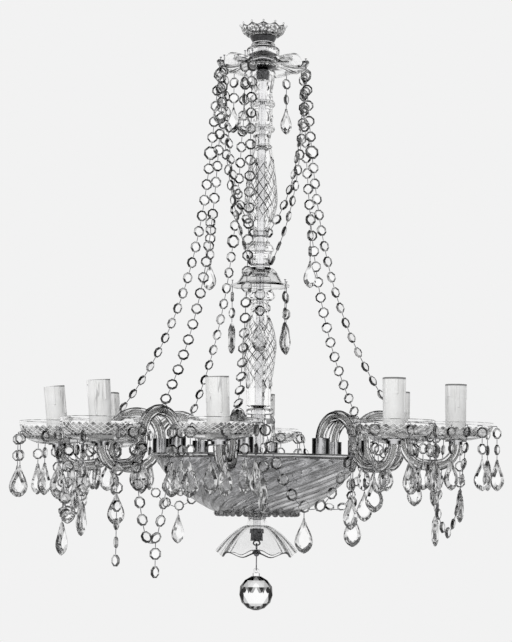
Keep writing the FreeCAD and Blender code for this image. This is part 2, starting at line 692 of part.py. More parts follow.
# Heights of the hook's eye and of the link's two pivots
HOOK_CAP_TOP = NUT_TOP - NUT_HEIGHT
HOOK_CAP_BOTTOM = HOOK_CAP_TOP - HOOK_CAP_HEIGHT
HOOK_EYE_Z = HOOK_CAP_BOTTOM - EYE_RADIUS
LINK_PIVOT_Z = HOOK_EYE_Z - EYE_RADIUS
HANG = EYE_RADIUS - 2 * EYE_WIRE_RADIUS - EYE_GAP
LINK_TOP_EYE_Z = LINK_PIVOT_Z - HANG
BALL_PIVOT_Z = LINK_PIVOT_Z - LINK_LENGTH
LINK_LOW_EYE_Z = BALL_PIVOT_Z + EYE_RADIUS
BALL_EYE_Z = BALL_PIVOT_Z - HANG
BALL_CAP_TOP = BALL_EYE_Z - EYE_RADIUS
BALL_TOP = BALL_CAP_TOP - BALL_CAP_HEIGHT
BALL_CENTRE_Z = BALL_TOP - BALL_RADIUS * math.sin(math.radians(BALL_RING_DEGREES[0]))


def bottom_hook():
    cap = cylinder(HOOK_CAP_RADIUS, HOOK_CAP_BOTTOM, HOOK_CAP_TOP)
    room = cylinder(BORE, TUBE_BOTTOM - FIT, HOOK_CAP_TOP + OVERRUN)
    return cap.cut(room).fuse(eye_ring(vec(0, 0, HOOK_EYE_Z), vec(0, 1, 0)))


def ball_link():
    top = eye_ring(vec(0, 0, LINK_TOP_EYE_Z), vec(1, 0, 0))
    low = eye_ring(vec(0, 0, LINK_LOW_EYE_Z), vec(1, 0, 0))
    rod = cylinder(EYE_WIRE_RADIUS, LINK_LOW_EYE_Z + EYE_RADIUS, LINK_TOP_EYE_Z - EYE_RADIUS)
    bead_z = LINK_PIVOT_Z - LINK_LENGTH * LINK_BEAD_SHARE
    bead = Part.makeSphere(LINK_BEAD_RADIUS, vec(0, 0, bead_z))
    return top.fuse([rod, low, bead])


def crystal_ball():
    points = []
    for degrees in BALL_RING_DEGREES:
        angle = math.radians(degrees)
        points.append((BALL_RADIUS * math.cos(angle), BALL_CENTRE_Z + BALL_RADIUS * math.sin(angle)))
    ball = diamond_cut(points, BALL_SIDES)
    return ball


def ball_cap():
    cap = cylinder(BALL_CAP_RADIUS, BALL_TOP, BALL_CAP_TOP)
    return cap.fuse(eye_ring(vec(0, 0, BALL_EYE_Z), vec(0, 1, 0)))


# Wire rings round the column that hold the ends of the short strands
TIE_RINGS = [(NECK_TIE_RADIUS, BELL_TOP + NECK_TIE_RISE), (VASE_TIE_RADIUS, VASE_NECK_TOP - VASE_TIE_FALL)]

# Arm centre line in the arm's own plane, X outwards and Z up, from the cup floor
ARCH_PEAK_X = ARM_ARCH_RADIUS
ARCH_PEAK_Z = ARM_RISE + ARM_ARCH_RADIUS
DIP_START_X = 2 * ARM_ARCH_RADIUS
DIP_LOW_X = DIP_START_X + ARM_DIP_RADIUS
DIP_LOW_Z = ARM_RISE - ARM_DIP_RADIUS
LIFT_X = DIP_LOW_X + ARM_DIP_RUN
ARM_REACH = LIFT_X + ARM_LIFT_RADIUS
ARM_END_Z = DIP_LOW_Z + ARM_LIFT_RADIUS + ARM_END_RISE
DIAGONAL = math.sqrt(0.5)
# Below this sine a facing counts as along the line of the beads
SMALL_SINE = 0.07


def arm_centre_line(tail, extra):
    """The arm's route, longer by a tail below and by a little above its end."""
    start = vec(0, 0, -tail)
    rise = vec(0, 0, ARM_RISE)
    peak = vec(ARCH_PEAK_X, 0, ARCH_PEAK_Z)
    fall = vec(DIP_START_X, 0, ARM_RISE)
    dip = ARM_DIP_RADIUS * DIAGONAL
    dip_middle = vec(DIP_LOW_X - dip, 0, ARM_RISE - dip)
    low = vec(DIP_LOW_X, 0, DIP_LOW_Z)
    lift_start = vec(LIFT_X, 0, DIP_LOW_Z)
    lift = ARM_LIFT_RADIUS * DIAGONAL
    lift_middle = vec(LIFT_X + lift, 0, DIP_LOW_Z + ARM_LIFT_RADIUS - lift)
    lift_end = vec(ARM_REACH, 0, DIP_LOW_Z + ARM_LIFT_RADIUS)
    end = vec(ARM_REACH, 0, ARM_END_Z + extra)
    return Part.Wire([
        Part.makeLine(start, rise),
        Part.Arc(rise, peak, fall).toShape(),
        Part.Arc(fall, dip_middle, low).toShape(),
        Part.makeLine(low, lift_start),
        Part.Arc(lift_start, lift_middle, lift_end).toShape(),
        Part.makeLine(lift_end, end),
    ])


def swept(profile, path):
    sweep = Part.BRepOffsetAPI.MakePipeShell(path)
    sweep.add(profile)
    sweep.build()
    sweep.makeSolid()
    solid = sweep.shape()
    if solid.Volume < 0:
        solid.reverse()
    return solid


def circle_wire(radius, centre, direction):
    return Part.Wire(Part.makeCircle(radius, centre, direction))


def fluted_wire(z):
    points = []
    for i in range(2 * ARM_RIDGES):
        radius = ARM_RIDGE_RADIUS if i % 2 == 0 else ARM_GROOVE_RADIUS
        angle = math.pi / ARM_RIDGES * i
        points.append(vec(radius * math.cos(angle), radius * math.sin(angle), z))
    return Part.makePolygon(points + [points[0]])


def glass_arm():
    body = swept(fluted_wire(0), arm_centre_line(0, 0))
    bore = swept(circle_wire(ARM_BORE_RADIUS, vec(0, 0, -OVERRUN), vec(0, 0, 1)),
                 arm_centre_line(OVERRUN, OVERRUN))
    return body.cut(bore)


def arm_wire():
    top = SEAT_THICKNESS + SEAT_NIPPLE_RISE
    profile = circle_wire(ARM_WIRE_RADIUS, vec(0, 0, -ARM_WIRE_TAIL), vec(0, 0, 1))
    return swept(profile, arm_centre_line(ARM_WIRE_TAIL, top))


SEAT_TOP_Z = ARM_END_Z + SEAT_THICKNESS
FLOOR_Z = SEAT_TOP_Z + DISH_WALL
AT_END = FreeCAD.Placement(vec(ARM_REACH, 0, 0), FreeCAD.Rotation())


def dish_seat():
    disc = cylinder(SEAT_RADIUS, ARM_END_Z, SEAT_TOP_Z)
    skirt = cylinder(SEAT_SKIRT_RADIUS, ARM_END_Z - SEAT_SKIRT_LENGTH, ARM_END_Z)
    room = cylinder(ARM_RIDGE_RADIUS + FIT, ARM_END_Z - SEAT_SKIRT_LENGTH - OVERRUN, ARM_END_Z)
    nipple = cylinder(SEAT_NIPPLE_RADIUS, SEAT_TOP_Z, SEAT_TOP_Z + SEAT_NIPPLE_RISE)
    bore = cylinder(SEAT_NIPPLE_BORE, ARM_END_Z - OVERRUN, SEAT_TOP_Z + SEAT_NIPPLE_RISE + OVERRUN)
    return placed(disc.fuse([skirt, nipple]).cut([room, bore]), AT_END)


def drip_dish():
    outside = [(DISH_RADIUS * r, SEAT_TOP_Z + DISH_DEPTH * h) for r, h in DISH_SHARES]
    inside = inner_curve(outside, -DISH_WALL)
    inside[0] = (outside[0][0], FLOOR_Z)
    inside[-1] = (outside[-1][0] - DISH_WALL, outside[-1][1])
    hole = SEAT_NIPPLE_RADIUS + FIT
    edges = [curve_edge(outside)]
    edges += path_edges([outside[-1], inside[-1]])
    edges.append(curve_edge(inside[::-1]))
    edges += path_edges([inside[0], (hole, FLOOR_Z), (hole, SEAT_TOP_Z), outside[0]])
    dish = revolved(edges)
    tools = []
    for azimuth in DISH_HOLE_AZIMUTHS:
        centre, outward = rim_point(azimuth)
        start = centre - outward * (DISH_WALL + OVERRUN)
        tools.append(Part.makeCylinder(DISH_HOLE_RADIUS, DISH_WALL + 2 * OVERRUN, start, outward))
    return placed(dish.cut(tools), AT_END)


def rim_point(azimuth):
    """Centre of a rim hole on the outer wall and its outward direction, about the dish axis."""
    outward = polar(1, azimuth, 0)
    centre = outward * (DISH_RADIUS - FIT) + vec(0, 0, SEAT_TOP_Z + DISH_DEPTH - DISH_HOLE_INSET)
    return centre, outward


def candle_sleeve():
    """A candle tube with wax runs down its side, open at both ends."""
    top = FLOOR_Z + SLEEVE_HEIGHT
    body = cylinder(SLEEVE_RADIUS, FLOOR_Z, top)
    runs = []
    for azimuth, share in DRIP_SHARES:
        centre = polar(SLEEVE_RADIUS - DRIP_RADIUS + DRIP_STAND, azimuth, 0)
        low = top - SLEEVE_HEIGHT * share
        run = cylinder(DRIP_RADIUS, low, top, centre)
        runs += [run, Part.makeSphere(DRIP_RADIUS, vec(centre.x, centre.y, low))]
    body = body.fuse(runs)
    room = cylinder(SLEEVE_RADIUS - SLEEVE_WALL, FLOOR_Z - OVERRUN, top + OVERRUN)
    return placed(body.cut(room), AT_END)


def lampholder():
    top = FLOOR_Z + HOLDER_HEIGHT
    foot = cylinder(HOLDER_FOOT_RADIUS, FLOOR_Z, FLOOR_Z + HOLDER_FOOT_HEIGHT)
    leg = cylinder(HOLDER_LEG_RADIUS, FLOOR_Z, FLOOR_Z + HOLDER_LEG_HEIGHT)
    body = cylinder(HOLDER_RADIUS, FLOOR_Z + HOLDER_LEG_HEIGHT, top)
    socket = cylinder(SOCKET_RADIUS, top - SOCKET_DEPTH, top + OVERRUN)
    nipple_top = SEAT_TOP_Z + SEAT_NIPPLE_RISE
    below = cylinder(SEAT_NIPPLE_RADIUS + FIT, FLOOR_Z - OVERRUN, nipple_top + FIT)
    return placed(foot.fuse([leg, body]).cut([socket, below]), AT_END)


def arm_placement(index):
    """Where an arm stands in its cup."""
    turn = upright(ARM_HEADINGS[index])
    droop = FreeCAD.Rotation(vec(0, 1, 0), ARM_DROOPS[index])
    lean = FreeCAD.Rotation(vec(1, 0, 0), ARM_LEANS[index])
    tilt = math.radians(math.hypot(ARM_DROOPS[index], ARM_LEANS[index]))
    lift = ARM_RIDGE_RADIUS * math.sin(tilt) + FIT + ARM_LIFTS[index]
    base = polar(CUP_CIRCLE, cup_azimuth(index), PLATE_TOP + CUP_FLOOR + lift)
    return FreeCAD.Placement(base, turn.multiply(droop).multiply(lean))


def bead_shape(width, thickness):
    """A cut octagon in its own YZ plane: two low pyramids, base to base."""
    corner = width / 2 / math.cos(math.pi / BEAD_SIDES)
    rim = [vec(0, p.x, p.y) for p in ring_points(corner, 0, BEAD_SIDES, 0.5)]
    faces = []
    for tip in (vec(thickness / 2, 0, 0), vec(-thickness / 2, 0, 0)):
        for i in range(BEAD_SIDES):
            faces.append(facet([rim[i], rim[(i + 1) % BEAD_SIDES], tip]))
    return closed_solid(faces)


def drop_shape(size_share):
    """A pear drop that hangs from its own origin, flat across X."""
    rings = []
    for along, across in DROP_SHARES:
        ring = ring_points(1, 0, BEAD_SIDES, 0)
        rings.append([
            vec(p.y * DROP_THICKNESS / 2 * across * size_share,
                p.x * DROP_WIDTH / 2 * across * size_share,
                -DROP_LENGTH * along * size_share)
            for p in ring
        ])
    tip = vec(0, 0, 0)
    low = vec(0, 0, -DROP_LENGTH * size_share)
    faces = []
    for i in range(BEAD_SIDES):
        j = (i + 1) % BEAD_SIDES
        faces.append(facet([rings[0][i], rings[0][j], tip]))
        for upper, lower in zip(rings, rings[1:]):
            faces.append(facet([upper[i], upper[j], lower[j], lower[i]]))
        faces.append(facet([rings[-1][i], rings[-1][j], low]))
    return closed_solid(faces)


BEAD = bead_shape(BEAD_WIDTH, BEAD_THICKNESS)
BIG_BEAD = bead_shape(BIG_BEAD_WIDTH, BIG_BEAD_THICKNESS)
DROP = drop_shape(1.0)
SMALL_DROP = drop_shape(SMALL_DROP_SHARE)
BEAD_REACH = BEAD_WIDTH / 2 + FIT
BIG_REACH = BIG_BEAD_WIDTH / 2 + FIT


def along_placement(point, direction, facing):
    """Local Z runs along the direction, and local X faces the given azimuth as nearly as it can."""
    z_axis = FreeCAD.Vector(direction).normalize()
    look = polar(1, facing, 0)
    y_axis = z_axis.cross(look)
    if y_axis.Length < SMALL_SINE:
        y_axis = z_axis.cross(vec(0, 0, 1))
    y_axis.normalize()
    x_axis = y_axis.cross(z_axis)
    return FreeCAD.Placement(point, FreeCAD.Rotation(x_axis, y_axis, z_axis, "ZXY"))


def pin_between(start, end):
    direction = end - start
    return Part.makeCylinder(PIN_RADIUS, direction.Length, start, direction)


def pendant(anchor, beads, facing, drop):
    """Beads and a drop that hang straight down from a wire's end, each turned a little more."""
    solids = []
    z = anchor.z - BEAD_REACH
    for i in range(beads):
        centre = vec(anchor.x, anchor.y, z)
        turn = facing + PENDANT_TWIST * i
        solids.append(placed(BEAD, along_placement(centre, vec(0, 0, -1), turn)))
        if i == beads - 1 and drop is None:
            return solids
        low = vec(anchor.x, anchor.y, z - BEAD_REACH)
        length = DROP_STEM if i == beads - 1 else BEAD_PITCH - 2 * BEAD_REACH
        tip = vec(anchor.x, anchor.y, low.z - length)
        solids.append(pin_between(low, tip))
        z -= BEAD_PITCH
    solids.append(placed(drop, FreeCAD.Placement(tip - vec(0, 0, FIT), upright(facing))))
    return solids


def evenly(points, first, pitch, count):
    """Places at even steps along a dense line of points, with the direction at each."""
    places = []
    travelled = 0.0
    target = first
    for a, b in zip(points, points[1:]):
        step = (b - a).Length
        while travelled + step >= target and len(places) < count:
            share = (target - travelled) / step
            places.append((a + (b - a) * share, (b - a).normalize()))
            target += pitch
        travelled += step
    return places


def bead_line(points, facing_start, facing_end, big=()):
    """Linked beads at even steps from the first point of a line to its last."""
    length = sum((b - a).Length for a, b in zip(points, points[1:]))
    count = max(round((length - 2 * BEAD_REACH) / BEAD_PITCH) + 1, 2)
    pitch = (length - 2 * BEAD_REACH) / (count - 1)
    places = evenly(points, BEAD_REACH, pitch * PITCH_SLACK, count)
    solids = []
    for i, (centre, direction) in enumerate(places):
        shape = BIG_BEAD if i in big else BEAD
        facing = facing_start + (facing_end - facing_start) * i / (count - 1)
        solids.append(placed(shape, along_placement(centre, direction, facing)))
        if i:
            before, heading = places[i - 1]
            reach = BIG_REACH if i - 1 in big else BEAD_REACH
            start = before + heading * reach
            end = centre - direction * (BIG_REACH if i in big else BEAD_REACH)
            solids.append(pin_between(start, end))
    return solids


def hanging_line(start, end, power):
    """A strand that falls steeply from its high end and flares out to its low end."""
    points = []
    for i in range(LINE_STEPS + 1):
        share = i / LINE_STEPS
        out = LINE_OUT_SHARE * share + (1 - LINE_OUT_SHARE) * share ** power
        points.append(vec(start.x + (end.x - start.x) * out,
                          start.y + (end.y - start.y) * out,
                          start.z + (end.z - start.z) * share))
    return points


def swag_line(start, end, sag):
    """A strand that hangs between two points, as a parabola that sags below their chord."""
    points = []
    for i in range(LINE_STEPS + 1):
        share = i / LINE_STEPS
        point = start + (end - start) * share
        points.append(point - vec(0, 0, 4 * sag * share * (1 - share)))
    return points


def disc_pin(azimuth):
    """The head pin in a hole of the disc, and the low end of its shank."""
    head_z = DISC_BOTTOM + DISC_RIM_RISE * DISC_PIN_SHARE + DISC_THICKNESS
    point = polar(DISC_HOLE_CIRCLE, azimuth, head_z)
    shank = PIN_SHANK + DISC_RIM_RISE
    head = cylinder(PIN_HEAD_RADIUS, point.z, point.z + PIN_HEAD_HEIGHT, point)
    wire = cylinder(PIN_RADIUS, point.z - shank, point.z + PIN_HEAD_HEIGHT, point)
    return head.fuse(wire), vec(point.x, point.y, point.z - shank)


def arch_tie(index, degrees):
    """The wire ring round an arm's arch, and the point on it where a strand ends."""
    place = arm_placement(index)
    angle = math.radians(degrees)
    outward = vec(math.sin(angle), 0, math.cos(angle))
    along = vec(math.cos(angle), 0, -math.sin(angle))
    centre = vec(ARCH_PEAK_X, 0, ARM_RISE) + outward * ARM_ARCH_RADIUS
    ring = Part.makeTorus(TIE_RADIUS, TIE_WIRE_RADIUS, centre, along)
    return placed(ring, place), place.multVec(centre + outward * (TIE_RADIUS + TIE_WIRE_RADIUS))


def strand_beads(row):
    """The octagons and pins of one long strand."""
    arm, azimuth, tie_angle, power, facing_start, facing_end, big = row
    start = disc_pin(azimuth)[1]
    end = arch_tie(arm, tie_angle)[1]
    return bead_line(hanging_line(start, end, power), facing_start, facing_end, big)


def octagons_of(beads):
    """The octagons of a line of beads, without the pins between them."""
    return [solid for solid in beads if len(solid.Faces) == 2 * BEAD_SIDES]


def side_hook(bead, azimuth):
    """A bent wire from an octagon's edge, with its end pointing down, and that end."""
    outward = polar(1, azimuth, 0)
    start = max([vertex.Point for vertex in bead.Vertexes], key=lambda p: p.dot(outward))
    bend = start + outward * (SIDE_REACH - HOOK_BEND)
    middle = start + outward * (SIDE_REACH - HOOK_BEND * (1 - DIAGONAL)) - vec(0, 0, HOOK_BEND * (1 - DIAGONAL))
    down = start + outward * SIDE_REACH - vec(0, 0, HOOK_BEND)
    end = start + outward * SIDE_REACH - vec(0, 0, HOOK_DROP)
    path = Part.Wire([Part.makeLine(start, bend), Part.Arc(bend, middle, down).toShape(), Part.makeLine(down, end)])
    return swept(circle_wire(PIN_RADIUS, start, outward), path), end


def long_strands():
    solids = []
    for row in STRANDS:
        solids += [disc_pin(row[1])[0], arch_tie(row[0], row[2])[0]]
        solids += strand_beads(row)
    for strand, number, azimuth, beads, facing in SIDE_PENDANTS:
        octagons = octagons_of(strand_beads(STRANDS[strand]))
        hook, end = side_hook(octagons[number], azimuth)
        solids.append(hook)
        solids += pendant(end, beads, facing, SMALL_DROP)
    return solids


def upper_crystals():
    solids = []
    for azimuth, beads, facing in DISC_PENDANTS:
        pin, start = disc_pin(azimuth)
        solids.append(pin)
        solids += pendant(start, beads, facing, SMALL_DROP)
    for radius, z in TIE_RINGS:
        solids.append(Part.makeTorus(radius, TIE_WIRE_RADIUS, vec(0, 0, z), vec(0, 0, 1)))
    solids += [bell_pin(azimuth)[0] for azimuth in BELL_PENDANT_AZIMUTHS]
    for azimuth, end_azimuth, ring, power, facing_start, facing_end in SHORT_STRANDS:
        pin, start = disc_pin(azimuth)
        radius, z = TIE_RINGS[ring]
        end = polar(radius + TIE_WIRE_RADIUS, end_azimuth, z)
        solids.append(pin)
        solids += bead_line(hanging_line(start, end, power), facing_start, facing_end)
    return solids


def dish_hook():
    """A bent wire through a rim hole, X outwards from the wall, with its end pointing down."""
    start = vec(-DISH_WALL - HOOK_TAIL, 0, 0)
    bend = vec(HOOK_REACH - HOOK_BEND, 0, 0)
    middle = vec(HOOK_REACH - HOOK_BEND * (1 - DIAGONAL), 0, -HOOK_BEND * (1 - DIAGONAL))
    down = vec(HOOK_REACH, 0, -HOOK_BEND)
    path = Part.Wire([
        Part.makeLine(start, bend),
        Part.Arc(bend, middle, down).toShape(),
        Part.makeLine(down, vec(HOOK_REACH, 0, -HOOK_DROP)),
    ])
    return swept(circle_wire(PIN_RADIUS, start, vec(1, 0, 0)), path)


HOOK = dish_hook()


def hook_at(index, azimuth):
    """A hook in a rim hole of an arm's dish, and the end from which crystals hang."""
    centre, outward = rim_point(azimuth)
    local = FreeCAD.Placement(centre + vec(ARM_REACH, 0, 0), upright(azimuth))
    place = arm_placement(index).multiply(local)
    return placed(HOOK, place), place.multVec(vec(HOOK_REACH, 0, -HOOK_DROP))


def dish_pendants():
    solids = []
    for index, (facing, counts) in enumerate(DISH_PENDANTS):
        for hole in range(DISH_HOLES):
            hook, end = hook_at(index, DISH_HOLE_AZIMUTHS[hole])
            solids.append(hook)
            drop = None if (index, hole) == BARE_STRING else DROP
            solids += pendant(end, counts[hole], facing + PENDANT_TWIST * hole, drop)
    return solids


def dish_swags():
    """One swag between each pair of neighbouring dishes, some with a pendant at the lowest octagon."""
    solids = []
    for index, (sag, facing_start, facing_end, below, with_drop) in enumerate(DISH_SWAGS):
        first_hook, start = hook_at(index, SWAG_HOLE_NEXT)
        last_hook, end = hook_at((index + 1) % ARM_COUNT, SWAG_HOLE_PREVIOUS)
        beads = bead_line(swag_line(start, end, sag), facing_start, facing_end)
        solids += [first_hook, last_hook] + beads
        if not below and not with_drop:
            continue
        lowest = min(octagons_of(beads), key=lambda solid: solid.BoundBox.ZMin)
        low = min([vertex.Point for vertex in lowest.Vertexes], key=lambda p: p.z)
        stem = low - vec(0, 0, DROP_STEM)
        solids.append(pin_between(low, stem))
        if with_drop:
            solids.append(placed(DROP, FreeCAD.Placement(stem - vec(0, 0, FIT), upright(facing_start))))
        else:
            solids += pendant(stem, below, facing_start, None)
    return solids


def bell_pin(azimuth):
    """The head pin in a hole of the bell's rim, and the low end of its shank."""
    top = polar(BELL_RADIUS - BELL_HOLE_INSET, azimuth, BELL_RIM + BELL_PIN_RISE)
    low = BELL_RIM - BELL_PIN_SHANK
    head = cylinder(PIN_HEAD_RADIUS, top.z, top.z + PIN_HEAD_HEIGHT, top)
    wire = cylinder(PIN_RADIUS, low, top.z + PIN_HEAD_HEIGHT, top)
    return head.fuse(wire), vec(top.x, top.y, low)


def bell_pendant(azimuth):
    end = bell_pin(azimuth)[1]
    return pendant(end - vec(0, 0, FIT), 2, azimuth, DROP)


def export(name, solids):
    shape = solids[0] if len(solids) == 1 else Part.makeCompound(solids)
    shape.exportStep(f"{PARTS_FOLDER}/{name}.step")


def build():
    os.makedirs("parts", exist_ok=True)
    export("hanging_loop", [hanging_loop()])
    export("crown_bowl", [crown_bowl()])
    export("crown_cup", [cup_piece(CROWN_CUP_SHARES, CROWN_CUP_RADIUS, CROWN_CUP_HEIGHT, CROWN_BOTTOM)])
    export("upper_dome", [upper_dome()])
    export("top_disc", [top_disc()])
    disc_cup_shares = [(1.0, 0.0), (DISC_CUP_FOOT_RADIUS / DISC_HUB_RADIUS, 1.0)]
    export("disc_cup", [cup_piece(disc_cup_shares, DISC_HUB_RADIUS, DISC_CUP_HEIGHT, DISC_BOTTOM)])
    export("spool_cup", [spool_cup()])
    export("column_spools", [
        upper_spool(),
        spool(SPOOL_2_SHARES, SPOOL_2_RADIUS, SPOOL_2_HEIGHT, SPOOL_2_TOP),
        spool(SPOOL_3_SHARES, SPOOL_3_RADIUS, SPOOL_3_HEIGHT, SPOOL_3_TOP),
        spool(VASE_NECK_SHARES, VASE_NECK_RADIUS, VASE_NECK_HEIGHT, VASE_NECK_TOP),
        spool(BELL_NECK_SHARES, BELL_NECK_RADIUS, BELL_NECK_HEIGHT, BELL_NECK_TOP),
        spool(WAIST_SHARES, WAIST_RADIUS, WAIST_HEIGHT, WAIST_TOP),
    ])
    export("spacer_rings", [spacer_ring(RING_1_TOP), spacer_ring(RING_2_TOP), spacer_ring(RING_3_TOP)])
    export("vase", [bored(diamond_cut(scaled(VASE_SHARES, VASE_RADIUS, VASE_HEIGHT, VASE_TOP), VASE_SIDES), BORE)])
    export("leaf_collar", [leaf_collar()])
    export("glass_bell", [glass_bell()])
    export("bell_seat", [cup_piece(BELL_SEAT_SHARES, BELL_SEAT_RADIUS, BELL_SEAT_HEIGHT, BELL_SEAT_TOP)])
    export("knop", [knop()])
    baluster = diamond_cut(
        scaled(BALUSTER_SHARES, BALUSTER_RADIUS, BALUSTER_HEIGHT, BALUSTER_TOP), BALUSTER_SIDES)
    export("lower_baluster", [bored(baluster, BORE)])
    export("column_foot", [spool(FOOT_SHARES, FOOT_RADIUS, FOOT_HEIGHT, FOOT_TOP)])
    export("central_tube", [central_tube()])
    export("arm_plate", [arm_plate()])
    export("arm_cups", [arm_cup(i) for i in range(ARM_COUNT)])
    export("receiver_bowl", [receiver_bowl()])
    export("bowl_seat", [cup_piece(BOWL_SEAT_SHARES, BOWL_SEAT_RADIUS, BOWL_SEAT_HEIGHT, BOWL_BOTTOM)])
    neck_points = scaled(NECK_RING_SHARES, NECK_RING_RADIUS, NECK_RING_HEIGHT, NECK_RING_TOP)
    export("bottom_dish", [bottom_dish(), turned(neck_points, BORE)])
    export("bottom_hook", [bottom_hook(), tube_nut()])
    export("ball_link", [ball_link()])
    export("crystal_ball", [crystal_ball(), ball_cap()])
    arm = glass_arm()
    dish = drip_dish()
    sleeve = candle_sleeve()
    for i in range(ARM_COUNT):
        place = arm_placement(i)
        export(f"arm_{i + 1}", [placed(arm, place)])
        export(f"dish_{i + 1}", [placed(dish, place)])
        export(f"candle_sleeve_{i + 1}", [placed(sleeve, place)])
    for name, shape in (("dish_seats", dish_seat()), ("lampholders", lampholder()), ("arm_wires", arm_wire())):
        export(name, [placed(shape, arm_placement(i)) for i in range(ARM_COUNT)])
    export("long_strands", long_strands())
    export("upper_crystals", upper_crystals())
    export("dish_pendants", dish_pendants())
    export("dish_swags", dish_swags())
    for i, azimuth in enumerate(BELL_PENDANT_AZIMUTHS):
        export(f"bell_pendant_{i + 1}", bell_pendant(azimuth))


if __name__ == "__main__":
    build()
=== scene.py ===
import json
import math
import bmesh
import bpy
from mathutils import Matrix, Vector
from mathutils.bvhtree import BVHTree


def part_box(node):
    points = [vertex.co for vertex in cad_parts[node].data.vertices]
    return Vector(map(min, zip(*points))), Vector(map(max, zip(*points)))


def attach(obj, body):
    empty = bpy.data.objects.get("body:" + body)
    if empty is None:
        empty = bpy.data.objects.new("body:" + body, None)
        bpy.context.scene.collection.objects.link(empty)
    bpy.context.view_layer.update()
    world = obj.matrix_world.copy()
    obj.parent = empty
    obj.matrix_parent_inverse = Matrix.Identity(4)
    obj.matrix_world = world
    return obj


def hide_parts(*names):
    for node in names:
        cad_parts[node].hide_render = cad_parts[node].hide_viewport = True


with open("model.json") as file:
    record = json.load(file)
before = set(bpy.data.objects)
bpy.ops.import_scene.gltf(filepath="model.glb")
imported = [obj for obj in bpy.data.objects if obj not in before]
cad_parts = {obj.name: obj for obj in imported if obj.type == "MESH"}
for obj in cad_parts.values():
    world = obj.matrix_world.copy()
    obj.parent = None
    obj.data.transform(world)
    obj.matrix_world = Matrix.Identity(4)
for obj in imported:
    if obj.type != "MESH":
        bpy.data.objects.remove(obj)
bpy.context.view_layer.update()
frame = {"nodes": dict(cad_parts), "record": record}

NODES = frame["nodes"]
SLOT_OF = {row["node"]: row["material_slot"] for row in frame["record"]["subparts"]}
BODY_OF = {node: body for body, nodes in frame["record"]["behaviour"]["bodies"].items() for node in nodes}
CRYSTAL_NODES = ["long_strands", "upper_crystals", "dish_pendants", "dish_swags"] + [
    f"bell_pendant_{number}" for number in range(1, 5)]

# Camera, from the photograph's perspective: metres and degrees
CAMERA_DISTANCE = 2.4
CAMERA_HEIGHT = -0.6206
CAMERA_SIDE = -0.0048
CAMERA_PITCH = 5.27
CAMERA_ROLL = 0.77
SENSOR = 36.0
FOCAL_PIXELS = 1800.0
PHOTO_HEIGHT = 642

# Backdrop: the paper's grey, the round floor with the share of the paper's light
# that it shows and its own colour, and the soft light that falls on matt pieces
PAPER = (0.888, 0.888, 0.888)
FLOOR_Z = -1.85
FLOOR_RADIUS = 5.0
FLOOR_SIDES = 96
FLOOR_SHARE = 0.75
FLOOR_DIFFUSE = (0.8, 0.8, 0.8, 1.0)
SKY = (0.92, 0.92, 0.92, 1.0)
SKY_STRENGTH = 0.62

# What glass and metal see: pale walls with dark gaps between them, and dark
# bands above and below the bright middle. A row is a place and its brightness.
# A wall's place runs from its gap (0) to its middle (1); a height runs from
# straight down (0) over the horizon (0.5) to straight up (1)
STUDIO_WALLS = 8.0
WALL_ROWS = [(0.0, 0.01), (0.09, 0.02), (0.15, 1.0), (1.0, 1.0)]
BAND_ROWS = [
    (0.0, 0.60), (0.30, 0.80), (0.325, 0.03), (0.345, 0.03), (0.36, 1.0), (0.415, 1.0), (0.425, 0.03),
    (0.44, 0.03), (0.45, 1.0), (0.67, 1.0), (0.69, 0.03), (0.74, 0.02), (0.76, 1.0), (0.88, 1.0),
    (0.90, 0.04), (0.93, 0.04), (0.96, 0.55),
]
# The gaps stay above the horizon, so that flat glass looks clear from every side
GAPLESS_ROWS = [(0.0, 1.0), (0.60, 1.0), (0.62, 0.0), (1.0, 0.0)]

# Scales of the noise in the materials, per metre, from large to fine
SMUDGE_SCALE = 30.0
STAIN_SCALE = 45.0
DUST_SCALE = 60.0
STRIAE_SCALE = 60.0
STREAK_SCALE = 120.0
WAX_SWELL_SCALE = 140.0
GROUND_PATCH_SCALE = 150.0
WAX_SHINE_SCALE = 160.0
GRAIN_SCALE = 700.0
WEAR_SCALE = 900.0
FACET_WEAR_SCALE = 1200.0
GROUND_GRAIN_SCALE = 1500.0
# Wax runs and painted shadow lines, stretched along a sleeve, and streaks along drawn metal
RUN_SCALE = (90.0, 90.0, 9.0)
SHADOW_LINE_SCALE = (150.0, 150.0, 7.0)
DRAWN = (1, 1, 0.15)
CRYSTAL_IOR = 1.55

# Lights: name, place and power
LIGHTS = [("key", (-0.7, -2.8, 0.5), 44), ("back", (0.9, 2.8, 0.5), 20)]
LIGHT_TARGET = (0, 0, -0.45)
LIGHT_SIZE = (1.2, 1.2)

# Crystals, as shares of a CAD bead or drop: an octagon's flat table, its crown
# and girdle; a pear drop's outline from its top (share of the length, share of
# half the width), the middle that its tiers shrink to, and its tiers (share of
# the outline, share of half the thickness). Points closer than WELD are one
BEAD_SIDES = 8
BEAD_TABLE = 0.72
BEAD_CROWN = 0.72
BEAD_GIRDLE = 0.16
DROP_OUTLINE = [
    (0.0, 0.07), (0.10, 0.17), (0.24, 0.40), (0.40, 0.70), (0.54, 0.92), (0.65, 1.0), (0.75, 0.97),
    (0.85, 0.80), (0.93, 0.52), (0.98, 0.22),
]
DROP_MIDDLE = 0.58
DROP_TIERS = [(1.0, 0.08), (0.93, 0.42), (0.62, 0.92)]
WELD = 0.00002

# Cut bodies: node, lozenges round it, the stretch of its outline that is cut
# (shares of the outline's length, from the top), rows of lozenges, groove depth,
# the groove's share of a lozenge, and the wall of the blown glass (None: as in the CAD)
CUT_BODIES = [
    ("vase", 11, 0.14, 0.90, 10, 0.0010, 0.13, 0.0030),
    ("lower_baluster", 11, 0.08, 0.80, 13, 0.0010, 0.13, 0.0030),
] + [(f"dish_{number}", 34, 0.15, 0.56, 6, 0.0010, 0.16, None) for number in range(1, 9)]
